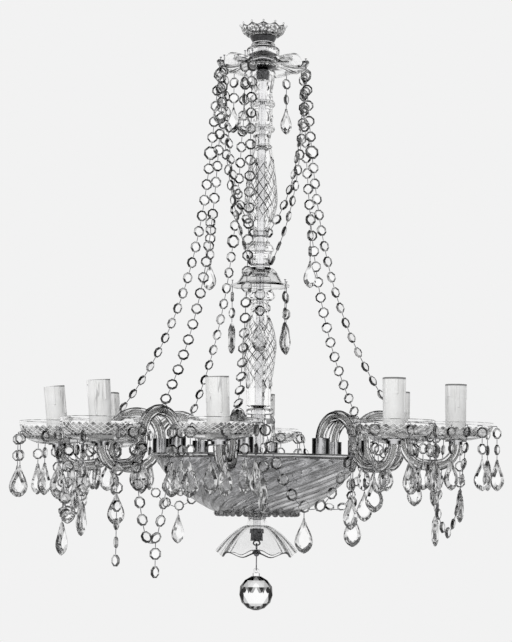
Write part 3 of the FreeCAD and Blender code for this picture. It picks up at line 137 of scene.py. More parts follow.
# The drip dishes' rounded section: its power (2 is an ellipse, more is squarer) and the wall
DISH_POWER = 2.7
DISH_WALL = 0.003
# A cut body's rings above and below its belt, and down its inside
PLAIN_RINGS = 8
INSIDE_RINGS = 32
# Reading a turned solid: samples down its outline, the turns (radians) that they
# are probed at, and from how far
OUTLINE_SAMPLES = 240
OUTLINE_TURNS = (0.13, 1.70, 3.27, 4.84)
FAR = 0.4
# Reading a flat one: the turns, from how high, and the stretch from bore to rim
SHEET_TURNS = (0.0, 0.21, 0.42, 0.63)
HIGH = 2.0
SHEET_FROM = 0.01
SHEET_SPAN = 0.975

# Swirled V cuts in the receiver bowl: how many, the part of a turn that each
# swings through, depth, the share of the spacing that a cut takes, and how
# fast it deepens from either end
BOWL_CUTS = 24
BOWL_SWING = 0.30
BOWL_DEPTH = 0.0016
BOWL_CUT_SHARE = 0.55
BOWL_FADE = 8
BOWL_SIDES = 208
BOWL_ROWS = 60
# The beaded edge under the bowl: its radius, how many beads and their radius
BOWL_EDGE_RADIUS = 0.053
BOWL_BEADS = 34
BOWL_BEAD_RADIUS = 0.0044

# Waved rims: waves round the piece, rise of a crest and depth of a trough at the rim
WAVE_SIDES = 192
WAVE_ROWS = 36
# The top disc: its rim's droop, its flat hub, and the creases between its petals
# (depth, share of a petal, and how fast they deepen from the hub)
DISC_WAVES = (8, 0.0022, 0.0056)
DISC_DROOP = 0.0042
DISC_HUB_SHARE = 0.25
DISC_CREASE = 0.0016
DISC_CREASE_SHARE = 0.10
DISC_CREASE_GROWTH = 2
# The bottom dish: the neck's radius and how far its edge is drawn in, the drop
# from its top to the cone, the cone's roundness, the wall, and the shares of the
# wall that its inside stands in by (sideways and down)
LOW_DISH_WAVES = (8, 0.0032, 0.0048)
LOW_DISH_NECK = 0.013
LOW_DISH_LIP = 0.001
LOW_DISH_DROP = 0.010
LOW_DISH_ROUND = 1.55
LOW_DISH_WALL = 0.003
LOW_DISH_INSET = (0.8, 0.6)
# The crown bowl: it keeps every so many samples of its outline; its plain hub,
# its ribs round and down, and the beads on its rim
CROWN_WAVES = (12, 0.0013, 0.0012)
CROWN_SAMPLE = 4
CROWN_HUB_SHARE = 0.4
CROWN_RIBS = 24
CROWN_RIB_ROWS = 3
CROWN_RIB_DEPTH = 0.0009
CROWN_BEAD_RADIUS = 0.0016

# The bead round the arm plate's edge: radius, sides, and the share sunk in the plate
PLATE_LINE = 0.0009
PLATE_LINE_SIDES = 8
PLATE_LINE_SUNK = 0.5

# Panel-cut spools: panels round each, steps in a panel, the grooves' depth and
# sharpness, and how far the blown glass stands out past the CAD's spool
SPOOL_PANELS = 10
SPOOL_STEPS = 12
SPOOL_PANEL_DEPTH = 0.0011
SPOOL_GROOVE_SHARPNESS = 5
SPOOL_WIDER = 1.16
SPOOL_BORE_ROWS = 8

# Small glass balls
BALL_SIDES = 12
BALL_ROWS = 8


def circle(count):
    """The angles of one turn in equal steps."""
    return [2 * math.pi * i / count for i in range(count)]


def polar(radius, turn, z):
    """The point at a radius, an angle and a height."""
    return Vector((radius * math.cos(turn), radius * math.sin(turn), z))


def add_camera():
    data = bpy.data.cameras.new("camera")
    data.sensor_width = SENSOR
    data.lens = FOCAL_PIXELS * SENSOR / PHOTO_HEIGHT
    data.clip_end = 100.0
    camera = bpy.data.objects.new("camera", data)
    pitch = Matrix.Rotation(math.radians(90 + CAMERA_PITCH), 4, "X")
    turn = pitch @ Matrix.Rotation(math.radians(CAMERA_ROLL), 4, "Z")
    camera.matrix_world = Matrix.Translation((CAMERA_SIDE, -CAMERA_DISTANCE, CAMERA_HEIGHT)) @ turn
    bpy.context.collection.objects.link(camera)
    bpy.context.scene.camera = camera


class Tree:
    """A short way to write a node tree."""

    def __init__(self, tree):
        self.tree = tree
        tree.nodes.clear()

    def add(self, kind, values=None, **settings):
        node = self.tree.nodes.new(kind)
        for key, value in settings.items():
            setattr(node, key, value)
        for key, value in (values or {}).items():
            if isinstance(value, bpy.types.NodeSocket):
                self.tree.links.new(value, node.inputs[key])
            else:
                node.inputs[key].default_value = value
        return node

    def math(self, operation, a, b=0.0, c=0.0):
        return self.add("ShaderNodeMath", {0: a, 1: b, 2: c}, operation=operation).outputs[0]

    def mix(self, share, a, b, blend="MIX"):
        node = self.add("ShaderNodeMix", {"Factor": share}, data_type="RGBA", blend_type=blend)
        for key, value in (("A", a), ("B", b)):
            socket = [s for s in node.inputs if s.name == key and s.type == "RGBA"][0]
            if isinstance(value, bpy.types.NodeSocket):
                self.tree.links.new(value, socket)
            else:
                socket.default_value = (*value[:3], 1.0)
        return [s for s in node.outputs if s.type == "RGBA"][0]

    def ramp(self, value, stops):
        """A ramp through stops of (place, grey)."""
        node = self.add("ShaderNodeValToRGB", {0: value})
        ramp = node.color_ramp
        while len(ramp.elements) < len(stops):
            ramp.elements.new(0.5)
        for element, (place, colour) in zip(ramp.elements, stops):
            element.position = place
            element.color = (colour, colour, colour, 1.0)
        return node.outputs[0]

    def noise(self, vector, scale, detail, rough=0.5):
        values = {"Vector": vector, "Scale": scale, "Detail": detail, "Roughness": rough}
        return self.add("ShaderNodeTexNoise", values).outputs["Fac"]

    def place(self, scale=(1, 1, 1)):
        """Coordinates on the piece itself, stretched by a scale."""
        where = self.add("ShaderNodeTexCoord").outputs["Object"]
        return self.add("ShaderNodeMapping", {"Vector": where, "Scale": scale}).outputs[0]

    def bump(self, height, strength, distance):
        return self.add("ShaderNodeBump", {"Height": height, "Strength": strength, "Distance": distance}).outputs[0]

    def finish(self, shader, kind="ShaderNodeOutputMaterial"):
        self.tree.links.new(shader, self.add(kind).inputs["Surface"])


def material(name):
    made = bpy.data.materials.new(name)
    made.use_nodes = True
    return made, Tree(made.node_tree)


def make_world():
    world = bpy.data.worlds.new("studio")
    bpy.context.scene.world = world
    world.use_nodes = True
    t = Tree(world.node_tree)
    ray = t.add("ShaderNodeLightPath")
    direction = t.add("ShaderNodeTexCoord").outputs["Generated"]
    x, y, z = t.add("ShaderNodeSeparateXYZ", {0: direction}).outputs
    height = t.math("MULTIPLY_ADD", z, 0.5, 0.5)
    wave = t.math("COSINE", t.math("MULTIPLY", t.math("ARCTAN2", x, y), STUDIO_WALLS))
    walls = t.ramp(t.math("MULTIPLY_ADD", wave, 0.5, 0.5), WALL_ROWS)
    walls = t.mix(t.ramp(height, GAPLESS_ROWS), walls, (1.0, 1.0, 1.0))
    studio = t.mix(1.0, walls, t.ramp(height, BAND_ROWS), "MULTIPLY")
    soft = t.add("ShaderNodeBackground", {"Color": SKY, "Strength": SKY_STRENGTH}).outputs[0]
    seen = t.add("ShaderNodeBackground", {"Color": (*PAPER, 1.0), "Strength": 1.0}).outputs[0]
    glossy = t.add("ShaderNodeBackground", {"Color": studio, "Strength": 1.0}).outputs[0]
    bent = t.math("MAXIMUM", ray.outputs["Is Glossy Ray"], ray.outputs["Is Transmission Ray"])
    first = t.add("ShaderNodeMixShader", {0: bent, 1: soft, 2: glossy}).outputs[0]
    last = t.add("ShaderNodeMixShader", {0: ray.outputs["Is Camera Ray"], 1: first, 2: seen}).outputs[0]
    t.finish(last, "ShaderNodeOutputWorld")


def make_floor():
    mesh = bpy.data.meshes.new("floor")
    ring = [polar(FLOOR_RADIUS, turn, FLOOR_Z) for turn in circle(FLOOR_SIDES)]
    mesh.from_pydata(ring, [], [list(range(FLOOR_SIDES))])
    floor = bpy.data.objects.new("floor", mesh)
    bpy.context.collection.objects.link(floor)
    made, t = material("floor_paper")
    ray = t.add("ShaderNodeLightPath")
    flat = t.add("ShaderNodeEmission", {"Color": (*PAPER, 1.0), "Strength": 1.0}).outputs[0]
    paper = t.add("ShaderNodeBsdfDiffuse", {"Color": FLOOR_DIFFUSE}).outputs[0]
    bent = t.math("MAXIMUM", ray.outputs["Is Glossy Ray"], ray.outputs["Is Transmission Ray"])
    seen = t.math("MULTIPLY", t.math("MAXIMUM", ray.outputs["Is Camera Ray"], bent), FLOOR_SHARE)
    t.finish(t.add("ShaderNodeMixShader", {0: seen, 1: paper, 2: flat}).outputs[0])
    mesh.materials.append(made)


def add_light(name, place, power):
    data = bpy.data.lights.new(name, "AREA")
    data.shape = "RECTANGLE"
    data.size, data.size_y = LIGHT_SIZE
    data.energy = power
    lamp = bpy.data.objects.new(name, data)
    lamp.location = place
    lamp.rotation_euler = (Vector(LIGHT_TARGET) - Vector(place)).to_track_quat("-Z", "Y").to_euler()
    lamp.visible_glossy = lamp.visible_transmission = False
    bpy.context.collection.objects.link(lamp)


def glass(name, tint=(0.98, 0.98, 0.98), edge=(0.10, 0.10, 0.10), edge_from=0.42, edge_to=0.86, ior=1.5, haze=0.10):
    """Polished glass with painted shade that darkens it towards its outline, with faint striae and fine wear in its
    surface.
    """
    made, t = material(name)
    where = t.place()
    # Painted shade: the glass's colour darkens towards its outline
    facing = t.add("ShaderNodeLayerWeight", {"Blend": 0.5}).outputs["Facing"]
    painted_edge_shade = t.ramp(facing, [(0.0, 0.0), (edge_from, 0.03), (edge_to, 1.0)])
    striae = t.ramp(t.noise(where, STRIAE_SCALE, 2.0), [(0.35, 0.0), (0.75, 1.0)])
    body = t.mix(striae, tint, tuple(v * (1 - haze) for v in tint))
    colour = t.mix(painted_edge_shade, body, edge)
    wear = t.ramp(t.noise(where, WEAR_SCALE, 2.0, 0.7), [(0.50, 0.0), (0.80, 0.04)])
    t.finish(t.add("ShaderNodeBsdfPrincipled", {
        "Base Color": colour, "Roughness": wear, "IOR": ior, "Transmission Weight": 1.0}).outputs[0])
    return made


def painted_shade_glass(name, dark, pale, scale):
    """The ground bevels of a crystal, with painted shade that is darker in some facets than in others."""
    made, t = material(name)
    where = t.place()
    # Painted shade: dark patches mixed into the clear glass's colour
    patch = t.ramp(t.noise(where, scale, 1.0), [(0.43, 0.0), (0.57, 1.0)])
    colour = t.mix(patch, dark, pale)
    wear = t.ramp(t.noise(where, FACET_WEAR_SCALE, 2.0, 0.7), [(0.45, 0.0), (0.75, 0.06)])
    t.finish(t.add("ShaderNodeBsdfPrincipled", {
        "Base Color": colour, "Roughness": wear, "IOR": CRYSTAL_IOR, "Transmission Weight": 1.0}).outputs[0])
    return made


def ground(name):
    """Ground glass of a cut line: white, a little see-through, with its grain."""
    made, t = material(name)
    where = t.place()
    patch = t.ramp(t.noise(where, GROUND_PATCH_SCALE, 2.0), [(0.35, 0.0), (0.65, 1.0)])
    colour = t.mix(patch, (1.0, 1.0, 1.0), (0.85, 0.85, 0.85))
    normal = t.bump(t.noise(where, GROUND_GRAIN_SCALE, 2.0), 0.2, 0.0002)
    t.finish(t.add("ShaderNodeBsdfPrincipled", {
        "Base Color": colour, "Roughness": 0.45, "IOR": 1.3, "Transmission Weight": 0.05,
        "Normal": normal}).outputs[0])
    return made


def metal(name, pale, dark, rough, scale=(1, 1, 1), edge=1.0, edge_from=0.42, edge_to=0.72, grain=0.12):
    """Polished metal with faint streaks, smudges and fine wear, and painted shade that darkens its colour towards the
    outline.
    """
    made, t = material(name)
    where = t.place(scale)
    streak = t.noise(where, STREAK_SCALE, 3.0)
    smudge = t.noise(t.place(), SMUDGE_SCALE, 4.0)
    colour = t.mix(t.ramp(smudge, [(0.35, 0.0), (0.7, 1.0)]), pale, dark)
    # Painted shade: the colour darkens towards the outline
    facing = t.add("ShaderNodeLayerWeight", {"Blend": 0.5}).outputs["Facing"]
    colour = t.mix(1.0, colour, t.ramp(facing, [(0.0, 1.0), (edge_from, 1.0), (edge_to, edge)]), "MULTIPLY")
    shine = t.ramp(streak, [(0.3, rough), (0.7, rough + 0.12)])
    normal = t.bump(streak, grain, 0.0004)
    t.finish(t.add("ShaderNodeBsdfPrincipled", {
        "Base Color": colour, "Roughness": shine, "Metallic": 1.0, "Normal": normal}).outputs[0])
    return made


def wax(name):
    """Candle sleeve: smooth pale plastic with wax stains and runs, thin painted shadow lines, and painted shade
    darkening its top and foot.
    """
    made, t = material(name)
    where = t.place()
    stain = t.ramp(t.noise(where, STAIN_SCALE, 4.0), [(0.35, 0.0), (0.72, 1.0)])
    colour = t.mix(stain, (0.86, 0.86, 0.855), (0.76, 0.76, 0.75))
    runs = t.ramp(t.noise(t.place(RUN_SCALE), 1.0, 2.0), [(0.45, 0.0), (0.62, 1.0)])
    colour = t.mix(t.math("MULTIPLY", runs, 0.35), colour, (0.92, 0.92, 0.92))
    height = t.add("ShaderNodeSeparateXYZ", {0: t.add("ShaderNodeTexCoord").outputs["Generated"]}).outputs[2]
    # Painted shade: the top and the foot of the sleeve darken to near black
    ends = t.ramp(height, [(0.0, 0.35), (0.03, 0.0), (0.962, 0.0), (0.978, 0.9)])
    colour = t.mix(ends, colour, (0.10, 0.10, 0.10))
    # Painted shadow: thin dark lines stretched along the sleeve's upper half
    painted_shadow_lines = t.noise(t.place(SHADOW_LINE_SCALE), 1.0, 1.0)
    painted_shadow_lines = t.ramp(painted_shadow_lines, [(0.640, 0.0), (0.650, 1.0), (0.660, 1.0), (0.670, 0.0)])
    upper = t.ramp(height, [(0.40, 0.0), (0.55, 0.6), (0.95, 0.6)])
    colour = t.mix(t.math("MULTIPLY", painted_shadow_lines, upper), colour, (0.30, 0.30, 0.30))
    shine = t.ramp(t.noise(where, WAX_SHINE_SCALE, 2.0), [(0.3, 0.34), (0.7, 0.5)])
    normal = t.bump(t.noise(where, WAX_SWELL_SCALE, 3.0), 0.15, 0.0006)
    t.finish(t.add("ShaderNodeBsdfPrincipled", {
        "Base Color": colour, "Roughness": shine, "Normal": normal, "Subsurface Weight": 0.08,
        "Subsurface Radius": (0.004, 0.004, 0.004)}).outputs[0])
    return made


def plastic(name, colour, rough):
    """Moulded plastic with a fine grain and some dust."""
    made, t = material(name)
    grain = t.noise(t.place(), GRAIN_SCALE, 2.0)
    dust = t.ramp(t.noise(t.place(), DUST_SCALE, 3.0), [(0.4, 0.0), (0.8, 0.5)])
    shade = t.mix(dust, colour, tuple(min(1.0, v * 1.4 + 0.03) for v in colour))
    t.finish(t.add("ShaderNodeBsdfPrincipled", {
        "Base Color": shade, "Roughness": rough, "Normal": t.bump(grain, 0.2, 0.0003)}).outputs[0])
    return made


def grey(value):
    return value, value, value


def materials():
    """Every material by its short name."""
    return {
        "clear": glass("clear_glass_moulded", edge=(0.14, 0.14, 0.145), edge_from=0.50, edge_to=0.92, haze=0.05),
        "thin": glass("clear_glass_blown", grey(1.0), edge_from=0.55, edge_to=0.94, ior=1.25, haze=0.05),
        "sheet": glass("clear_glass_pressed", grey(0.94), grey(0.05), edge_from=0.72, edge_to=0.97, ior=1.40,
                       haze=0.06),
        "dish": glass("clear_glass_dish", grey(0.95), grey(0.12), edge_from=0.80, edge_to=0.99, ior=1.30, haze=0.05),
        "dish_cell": painted_shade_glass("clear_glass_dish_cell", grey(0.04), grey(0.50), 90.0),
        "dish_foot": painted_shade_glass("clear_glass_dish_foot", grey(0.16), grey(0.60), 70.0),
        "dish_groove": ground("dish_groove"),
        "ball": glass("crystal_ball_facets", grey(1.0), grey(0.0), edge_from=0.22, edge_to=0.50, ior=1.20, haze=0.04),
        "lace": painted_shade_glass("clear_glass_lace", grey(0.08), grey(1.0), 300.0),
        "cut": glass("clear_glass_cut", grey(1.0), edge_from=0.66, edge_to=0.97, ior=1.28, haze=0.03),
        "grey": glass("grey_glass_blown", (0.86, 0.86, 0.87), grey(0.30), edge_from=0.60, edge_to=0.97, ior=1.30),
        "table": glass("crystal_table", edge_from=0.60, edge_to=0.95, ior=CRYSTAL_IOR, haze=0.08),
        "bevel": painted_shade_glass("crystal_bevel", grey(0.0), grey(0.42), 90.0),
        "drop_bevel": painted_shade_glass("crystal_bevel_drop", grey(0.04), grey(0.80), 110.0),
        "soft_bevel": painted_shade_glass("crystal_bevel_soft", grey(0.45), grey(1.0), 80.0),
        "groove": painted_shade_glass("cut_groove", grey(0.03), grey(1.0), 80.0),
        "smoke": glass("smoke_glass_bowl", (0.80, 0.80, 0.81), grey(0.04), edge_from=0.46, haze=0.62),
        "edge_bead": painted_shade_glass("bowl_edge_bead", grey(0.20), grey(1.0), 110.0),
        "arm": glass("arm_glass_fluted", grey(1.0), grey(0.0), edge_from=0.14, edge_to=0.52, ior=1.45, haze=0.05),
        # Painted shade: this chrome's colour goes nearly black towards its outline
        "chrome": metal("chrome_dark", (0.72, 0.72, 0.73), (0.55, 0.55, 0.56), rough=0.0, scale=DRAWN, edge=0.004,
                        edge_from=0.04, edge_to=0.22, grain=0.02),
        "plate": metal("chrome_black", grey(0.20), grey(0.10), rough=0.08, scale=DRAWN, edge=0.3, grain=0.05),
        "dark": metal("metal_dark", (0.12, 0.12, 0.125), grey(0.05), rough=0.28),
        "steel": metal("steel_bright", (0.95, 0.95, 0.96), (0.86, 0.86, 0.87), rough=0.12, scale=(1, 1, 0.1),
                       edge=0.30),
        "bell": glass("clear_glass_bell", grey(0.86), grey(0.45), edge_from=0.55, edge_to=0.98, ior=1.18),
        "wire": metal("wire_chrome", (0.24, 0.24, 0.25), (0.10, 0.10, 0.11), rough=0.15),
        "candle": wax("candle_wax_sleeve"),
        "sheath": plastic("wire_sheath", (0.80, 0.80, 0.78), 0.5),
        "black": plastic("holder_black", grey(0.05), 0.55),
    }


# Materials by the part's slots, and the nodes that look different from their slot
SLOT_MATERIALS = {
    "clear_glass": "clear", "grey_glass": "grey", "crystal": "table", "candle_ivory": "candle",
    "dark_chrome": "chrome", "dark_metal": "dark", "loop_steel": "steel", "tube_steel": "steel",
    "hook_steel": "wire", "seat_metal": "chrome", "wire_sheath": "sheath", "holder_plastic": "black",
}
NODE_MATERIALS = {
    "receiver_bowl": "smoke", "glass_bell": "bell", "crystal_ball": "ball", "arm_plate": "plate",
    "bottom_hook": "dark", "bell_seat": "steel",
    **dict.fromkeys(("spacer_rings", "upper_dome", "knop", "leaf_collar", "column_foot"), "thin"),
    **{f"arm_{number}": "arm" for number in range(1, 9)},
}


class Build:
    """The points and faces of one new piece, each face with its material's number."""

    def __init__(self):
        self.points, self.faces, self.kinds = [], [], []

    def ring(self, points):
        first = len(self.points)
        self.points += points
        return list(range(first, first + len(points)))

    def face(self, corners, kind=0):
        self.faces.append(corners)
        self.kinds.append(kind)

    def band(self, upper, lower, kind=0):
        count = len(upper)
        for i in range(count):
            j = (i + 1) % count
            self.face([upper[i], upper[j], lower[j], lower[i]], kind)

    def tube(self, rings):
        """A closed skin through the rings, back to the first."""
        for one, other in zip(rings, rings[1:] + rings[:1]):
            self.band(one, other)

    def keep(self, points, faces, kind=0):
        """A CAD solid as it is."""
        first = len(self.points)
        self.points += points
        for corners in faces:
            self.face([first + i for i in corners], kind)

    def piece(self, name, made, node, smooth=None, stands_for=True):
        """The Blender object of this piece, which stands for a CAD node and rides on its body."""
        mesh = bpy.data.meshes.new(name)
        mesh.from_pydata(self.points, [], self.faces)
        for one in made:
            mesh.materials.append(one)
        mesh.polygons.foreach_set("material_index", self.kinds)
        mesh.polygons.foreach_set("use_smooth", [smooth is not None] * len(self.faces))
        work = bmesh.new()
        work.from_mesh(mesh)
        bmesh.ops.recalc_face_normals(work, faces=work.faces)
        work.to_mesh(mesh)
        work.free()
        if smooth is not None:
            mesh.set_sharp_from_angle(angle=math.radians(smooth))
        thing = bpy.data.objects.new(name, mesh)
        bpy.context.collection.objects.link(thing)
        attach(thing, BODY_OF[node])
        if stands_for:
            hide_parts(node)
        return thing


def islands(node):
    """The separate solids of a CAD node, each as points, faces and the tips where eight facets meet."""
    work = bmesh.new()
    work.from_mesh(NODES[node].data)
    work.transform(NODES[node].matrix_world)
    bmesh.ops.remove_doubles(work, verts=work.verts, dist=WELD)
    found, seen = [], set()
    for first in work.verts:
        if first in seen:
            continue
        seen.add(first)
        group, front = [], [first]
        while front:
            vert = front.pop()
            group.append(vert)
            for edge in vert.link_edges:
                other = edge.other_vert(vert)
                if other not in seen:
                    seen.add(other)
                    front.append(other)
        number = {vert: i for i, vert in enumerate(group)}
        faces = dict.fromkeys(face for vert in group for face in vert.link_faces)
        found.append((
            [vert.co.copy() for vert in group],
            [[number[vert] for vert in face.verts] for face in faces],
            [vert.co.copy() for vert in group if len(vert.link_edges) == BEAD_SIDES],
        ))
    work.free()
    return found


class Outline:
    """The outside and the bore of an upright turned CAD solid, read from its mesh, as lines from its top down."""

    def __init__(self, points, faces):
        self.tree = BVHTree.FromPolygons(points, faces)
        corners = [[pick(p[axis] for p in points) for pick in (min, max)] for axis in range(3)]
        self.centre = Vector((sum(corners[0]) / 2, sum(corners[1]) / 2, 0))
        self.low, self.high = corners[2]
        self.outer = self.measured(self.line(False))
        self.inner = self.measured(self.line(True))

    def measured(self, line):
        """A line of radii and heights with its running length."""
        lengths = [0.0]
        for (r1, z1), (r2, z2) in zip(line, line[1:]):
            lengths.append(lengths[-1] + math.hypot(r2 - r1, z2 - z1))
        return line, lengths

    def round_off(self, power, wall):
        """A rounded dish section between the same rim, foot and bore."""
        bore = self.inner[0][-1][0]
        rim = max(r for r, _ in self.outer[0])
        lines = []
        for inset in (0.0, wall):
            line = []
            for number in range(OUTLINE_SAMPLES + 1):
                angle = math.pi / 2 * number / OUTLINE_SAMPLES
                r = (rim - inset) * max(math.cos(angle), 0.0) ** (2 / power)
                z = self.high - (self.high - self.low - inset) * math.sin(angle) ** (2 / power)
                if r < bore:
                    break
                line.append((r, z))
            lines.append(self.measured(line + [(bore, line[-1][1])]))
        self.outer, self.inner = lines

    def line(self, inside):
        """Radii and heights down the outside, or down the bore."""
        inset = (self.high - self.low) / OUTLINE_SAMPLES / 2
        line = []
        for number in range(OUTLINE_SAMPLES + 1):
            z = self.high - inset - (self.high - self.low - 2 * inset) * number / OUTLINE_SAMPLES
            radii = []
            for turn in OUTLINE_TURNS:
                way = polar(1, turn, 0)
                start = self.centre + Vector((0, 0, z)) + (way * 0 if inside else way * FAR)
                hit = self.tree.ray_cast(start, way if inside else -way)[0]
                if hit is not None:
                    radii.append((hit - self.centre - Vector((0, 0, z))).length)
            if radii:
                line.append((sorted(radii)[len(radii) // 2], z))
        return line

    def at(self, share, inside=False, inset=0.0):
        """Radius and height at a share of the line's length, moved into the glass."""
        line, lengths = self.inner if inside else self.outer
        want = min(max(share, 0.0), 1.0) * lengths[-1]
        k = max(1, min(len(lengths) - 1, next((i for i, v in enumerate(lengths) if v >= want), len(lengths) - 1)))
        gap = lengths[k] - lengths[k - 1]
        part = (want - lengths[k - 1]) / gap if gap > 0 else 0.0
        (r1, z1), (r2, z2) = line[k - 1], line[k]
        r, z = r1 + (r2 - r1) * part, z1 + (z2 - z1) * part
        if inset and gap > 0:
            r, z = r + inset * (z2 - z1) / gap, z - inset * (r2 - r1) / gap
        return r, z

    def point(self, turn, share, inside=False, inset=0.0):
        r, z = self.at(share, inside, inset)
        return self.centre + polar(r, turn, z)

    def ring(self, count, share, inside=False):
        return [self.point(turn, share, inside) for turn in circle(count)]


# The material numbers of a cut body
FLAT, GROOVE, CELL, FOOT = range(4)


def lozenges(build, shape, count, first, last, rows, depth, groove):
    """A belt of cut lozenges with grooves between them; gives its top and bottom rings of twice the count."""
    step = 2 * math.pi / count
    shares = [first + (last - first) * j / rows for j in range(rows + 1)]
    grid = []
    for j, share in enumerate(shares):
        grid.append(build.ring([shape.point(step * (i + 0.5 * (j % 2)), share, inset=depth) for i in range(count)]))
    ends = []
    for j in (0, rows):
        between = build.ring([shape.point(step * (i + 0.5 + 0.5 * (j % 2)), shares[j]) for i in range(count)])
        pairs = [corner for i in range(count) for corner in (grid[j][i], between[i])]
        ends.append(pairs if j % 2 == 0 else pairs[-1:] + pairs[:-1])
        near = grid[1 if j == 0 else rows - 1]
        for i in range(count):
            low = near[i] if j % 2 == 0 else near[(i + 1) % count]
            build.face([grid[j][i], between[i], grid[j][(i + 1) % count], low], FLAT)
    for j in range(1, rows):
        odd = j % 2
        for i in range(count):
            turn = step * (i + 0.5 * (1 - odd))
            left, right = ((i - 1) % count, i) if odd else (i, (i + 1) % count)
            corners = [(grid[j - 1][i], turn, shares[j - 1]), (grid[j][right], turn + step / 2, shares[j]),
                       (grid[j + 1][i], turn, shares[j + 1]), (grid[j][left], turn - step / 2, shares[j])]
            keep = 1 - groove
            inner = build.ring([shape.point(turn + (a - turn) * keep, shares[j] + (s - shares[j]) * keep)
                                for _, a, s in corners])
            middle = build.ring([shape.point(turn, shares[j])])[0]
            for k in range(4):
                m = (k + 1) % 4
                build.face([corners[k][0], corners[m][0], inner[m], inner[k]], GROOVE)
                build.face([inner[k], inner[m], middle], CELL)
    return ends


def cut_body(node, count, first, last, rows, depth, groove, wall, made):
    """A turned CAD body with a belt of cut lozenges, hollow where its wall is given."""
    build = Build()
    for points, faces, _ in islands(node):
        shape = Outline(points, faces)
        if node.startswith("dish_"):
            shape.round_off(DISH_POWER, DISH_WALL)
        sides = 2 * count
        chain = [build.ring(shape.ring(sides, first * k / PLAIN_RINGS)) for k in range(PLAIN_RINGS)]
        top, low = lozenges(build, shape, count, first, last, rows, depth, groove)
        for number, (upper, lower) in enumerate(zip(chain, chain[1:] + [top])):
            build.band(upper, lower, FLAT if number else CELL)
        tail = [build.ring(shape.ring(sides, last + (1 - last) * k / PLAIN_RINGS)) for k in range(1, PLAIN_RINGS + 1)]
        for upper, lower in zip([low] + tail, tail):
            build.band(upper, lower, FOOT)
        back = []
        for k in range(INSIDE_RINGS, -1, -1):
            share = k / INSIDE_RINGS
            if wall is None:
                back.append(build.ring(shape.ring(sides, share, inside=True)))
                continue
            r, z = shape.at(share)
            bore = shape.at(share, inside=True)[0]
            r = bore if k in (0, INSIDE_RINGS) else max(bore, r - wall)
            back.append(build.ring([shape.centre + polar(r, turn, z) for turn in circle(sides)]))
        for upper, lower in zip([tail[-1]] + back, back):
            build.band(upper, lower, FLAT)
        build.band(back[-1], chain[0], CELL)
    # Painted shade: the grooves, and on the dishes the cells and the rounded foot, are tinted dark
    kinds = ("cut", "groove", "cut", "cut")
    if node.startswith("dish_"):
        kinds = ("dish", "dish_groove", "dish_cell", "dish_foot")
    build.piece(node + "_cut", [made[kind] for kind in kinds], node, smooth=25)


def waves(kind, turn, share):
    """How far a waved rim moves outwards and up, at a share of the way to the rim."""
    count, rise, depth = kind
    crest = math.cos(count * turn)
    grow = max(0.0, share) ** 2
    return -depth * grow * (1 - crest) / 2, rise * grow * crest


def waved(build, centre, upper, lower, kind, hub, relief=lambda turn, share: 0.0):
    """A turned sheet between two lines of (radius, height), with a waved rim."""
    rim = upper[-1][0]
    rings = []
    for line, top in ((upper, True), (lower[::-1], False)):
        for r, z in line:
            share = (r - hub) / (rim - hub)
            ring = []
            for turn in circle(WAVE_SIDES):
                out, up = waves(kind, turn, share)
                cut = relief(turn, share) if top else 0.0
                ring.append(centre + polar(r + out, turn, z + up - cut))
            rings.append(build.ring(ring))
    build.tube(rings)


def sheet_lines(points, faces):
    """The centre of a flat turned CAD solid, its rim's radius, and its upper and lower line from bore to rim."""
    tree = BVHTree.FromPolygons(points, faces)
    centre = Vector(((min(p.x for p in points) + max(p.x for p in points)) / 2,
                     (min(p.y for p in points) + max(p.y for p in points)) / 2, 0))
    radii = sorted((p - centre).to_2d().length for p in points)
    bore, rim = radii[0], radii[-1]
    lines = ([], [])
    for k in range(WAVE_ROWS + 1):
        r = bore + (rim - bore) * (SHEET_FROM + SHEET_SPAN * k / WAVE_ROWS)
        for line, way in zip(lines, (1, -1)):
            heights = []
            for turn in SHEET_TURNS:
                start = centre + polar(r, turn, way * HIGH)
                hit = tree.ray_cast(start, Vector((0, 0, -way)))[0]
                if hit is not None:
                    heights.append(hit.z)
            if heights:
                line.append((r, sorted(heights)[len(heights) // 2]))
    return centre, rim, *lines


def petal_fold(turn, share):
    """The creases between the disc's petals."""
    place = turn * DISC_WAVES[0] / (2 * math.pi) + 0.5
    away = abs(place - round(place))
    grown = max(0.0, min(1.0, share * DISC_CREASE_GROWTH))
    return DISC_CREASE * max(0.0, 1 - away / DISC_CREASE_SHARE) * grown


def petal_disc(node, made):
    """The top disc with drooping petals."""
    build = Build()
    for points, faces, _ in islands(node):
        centre, rim, upper, lower = sheet_lines(points, faces)
        hub = rim * DISC_HUB_SHARE
        upper, lower = [[(r, z - DISC_DROOP * max(0.0, (r - hub) / (rim - hub)) ** 2) for r, z in line]
                        for line in (upper, lower)]
        waved(build, centre, upper, lower, DISC_WAVES, hub, petal_fold)
    build.piece(node + "_petals", [made["sheet"]], node, smooth=35)


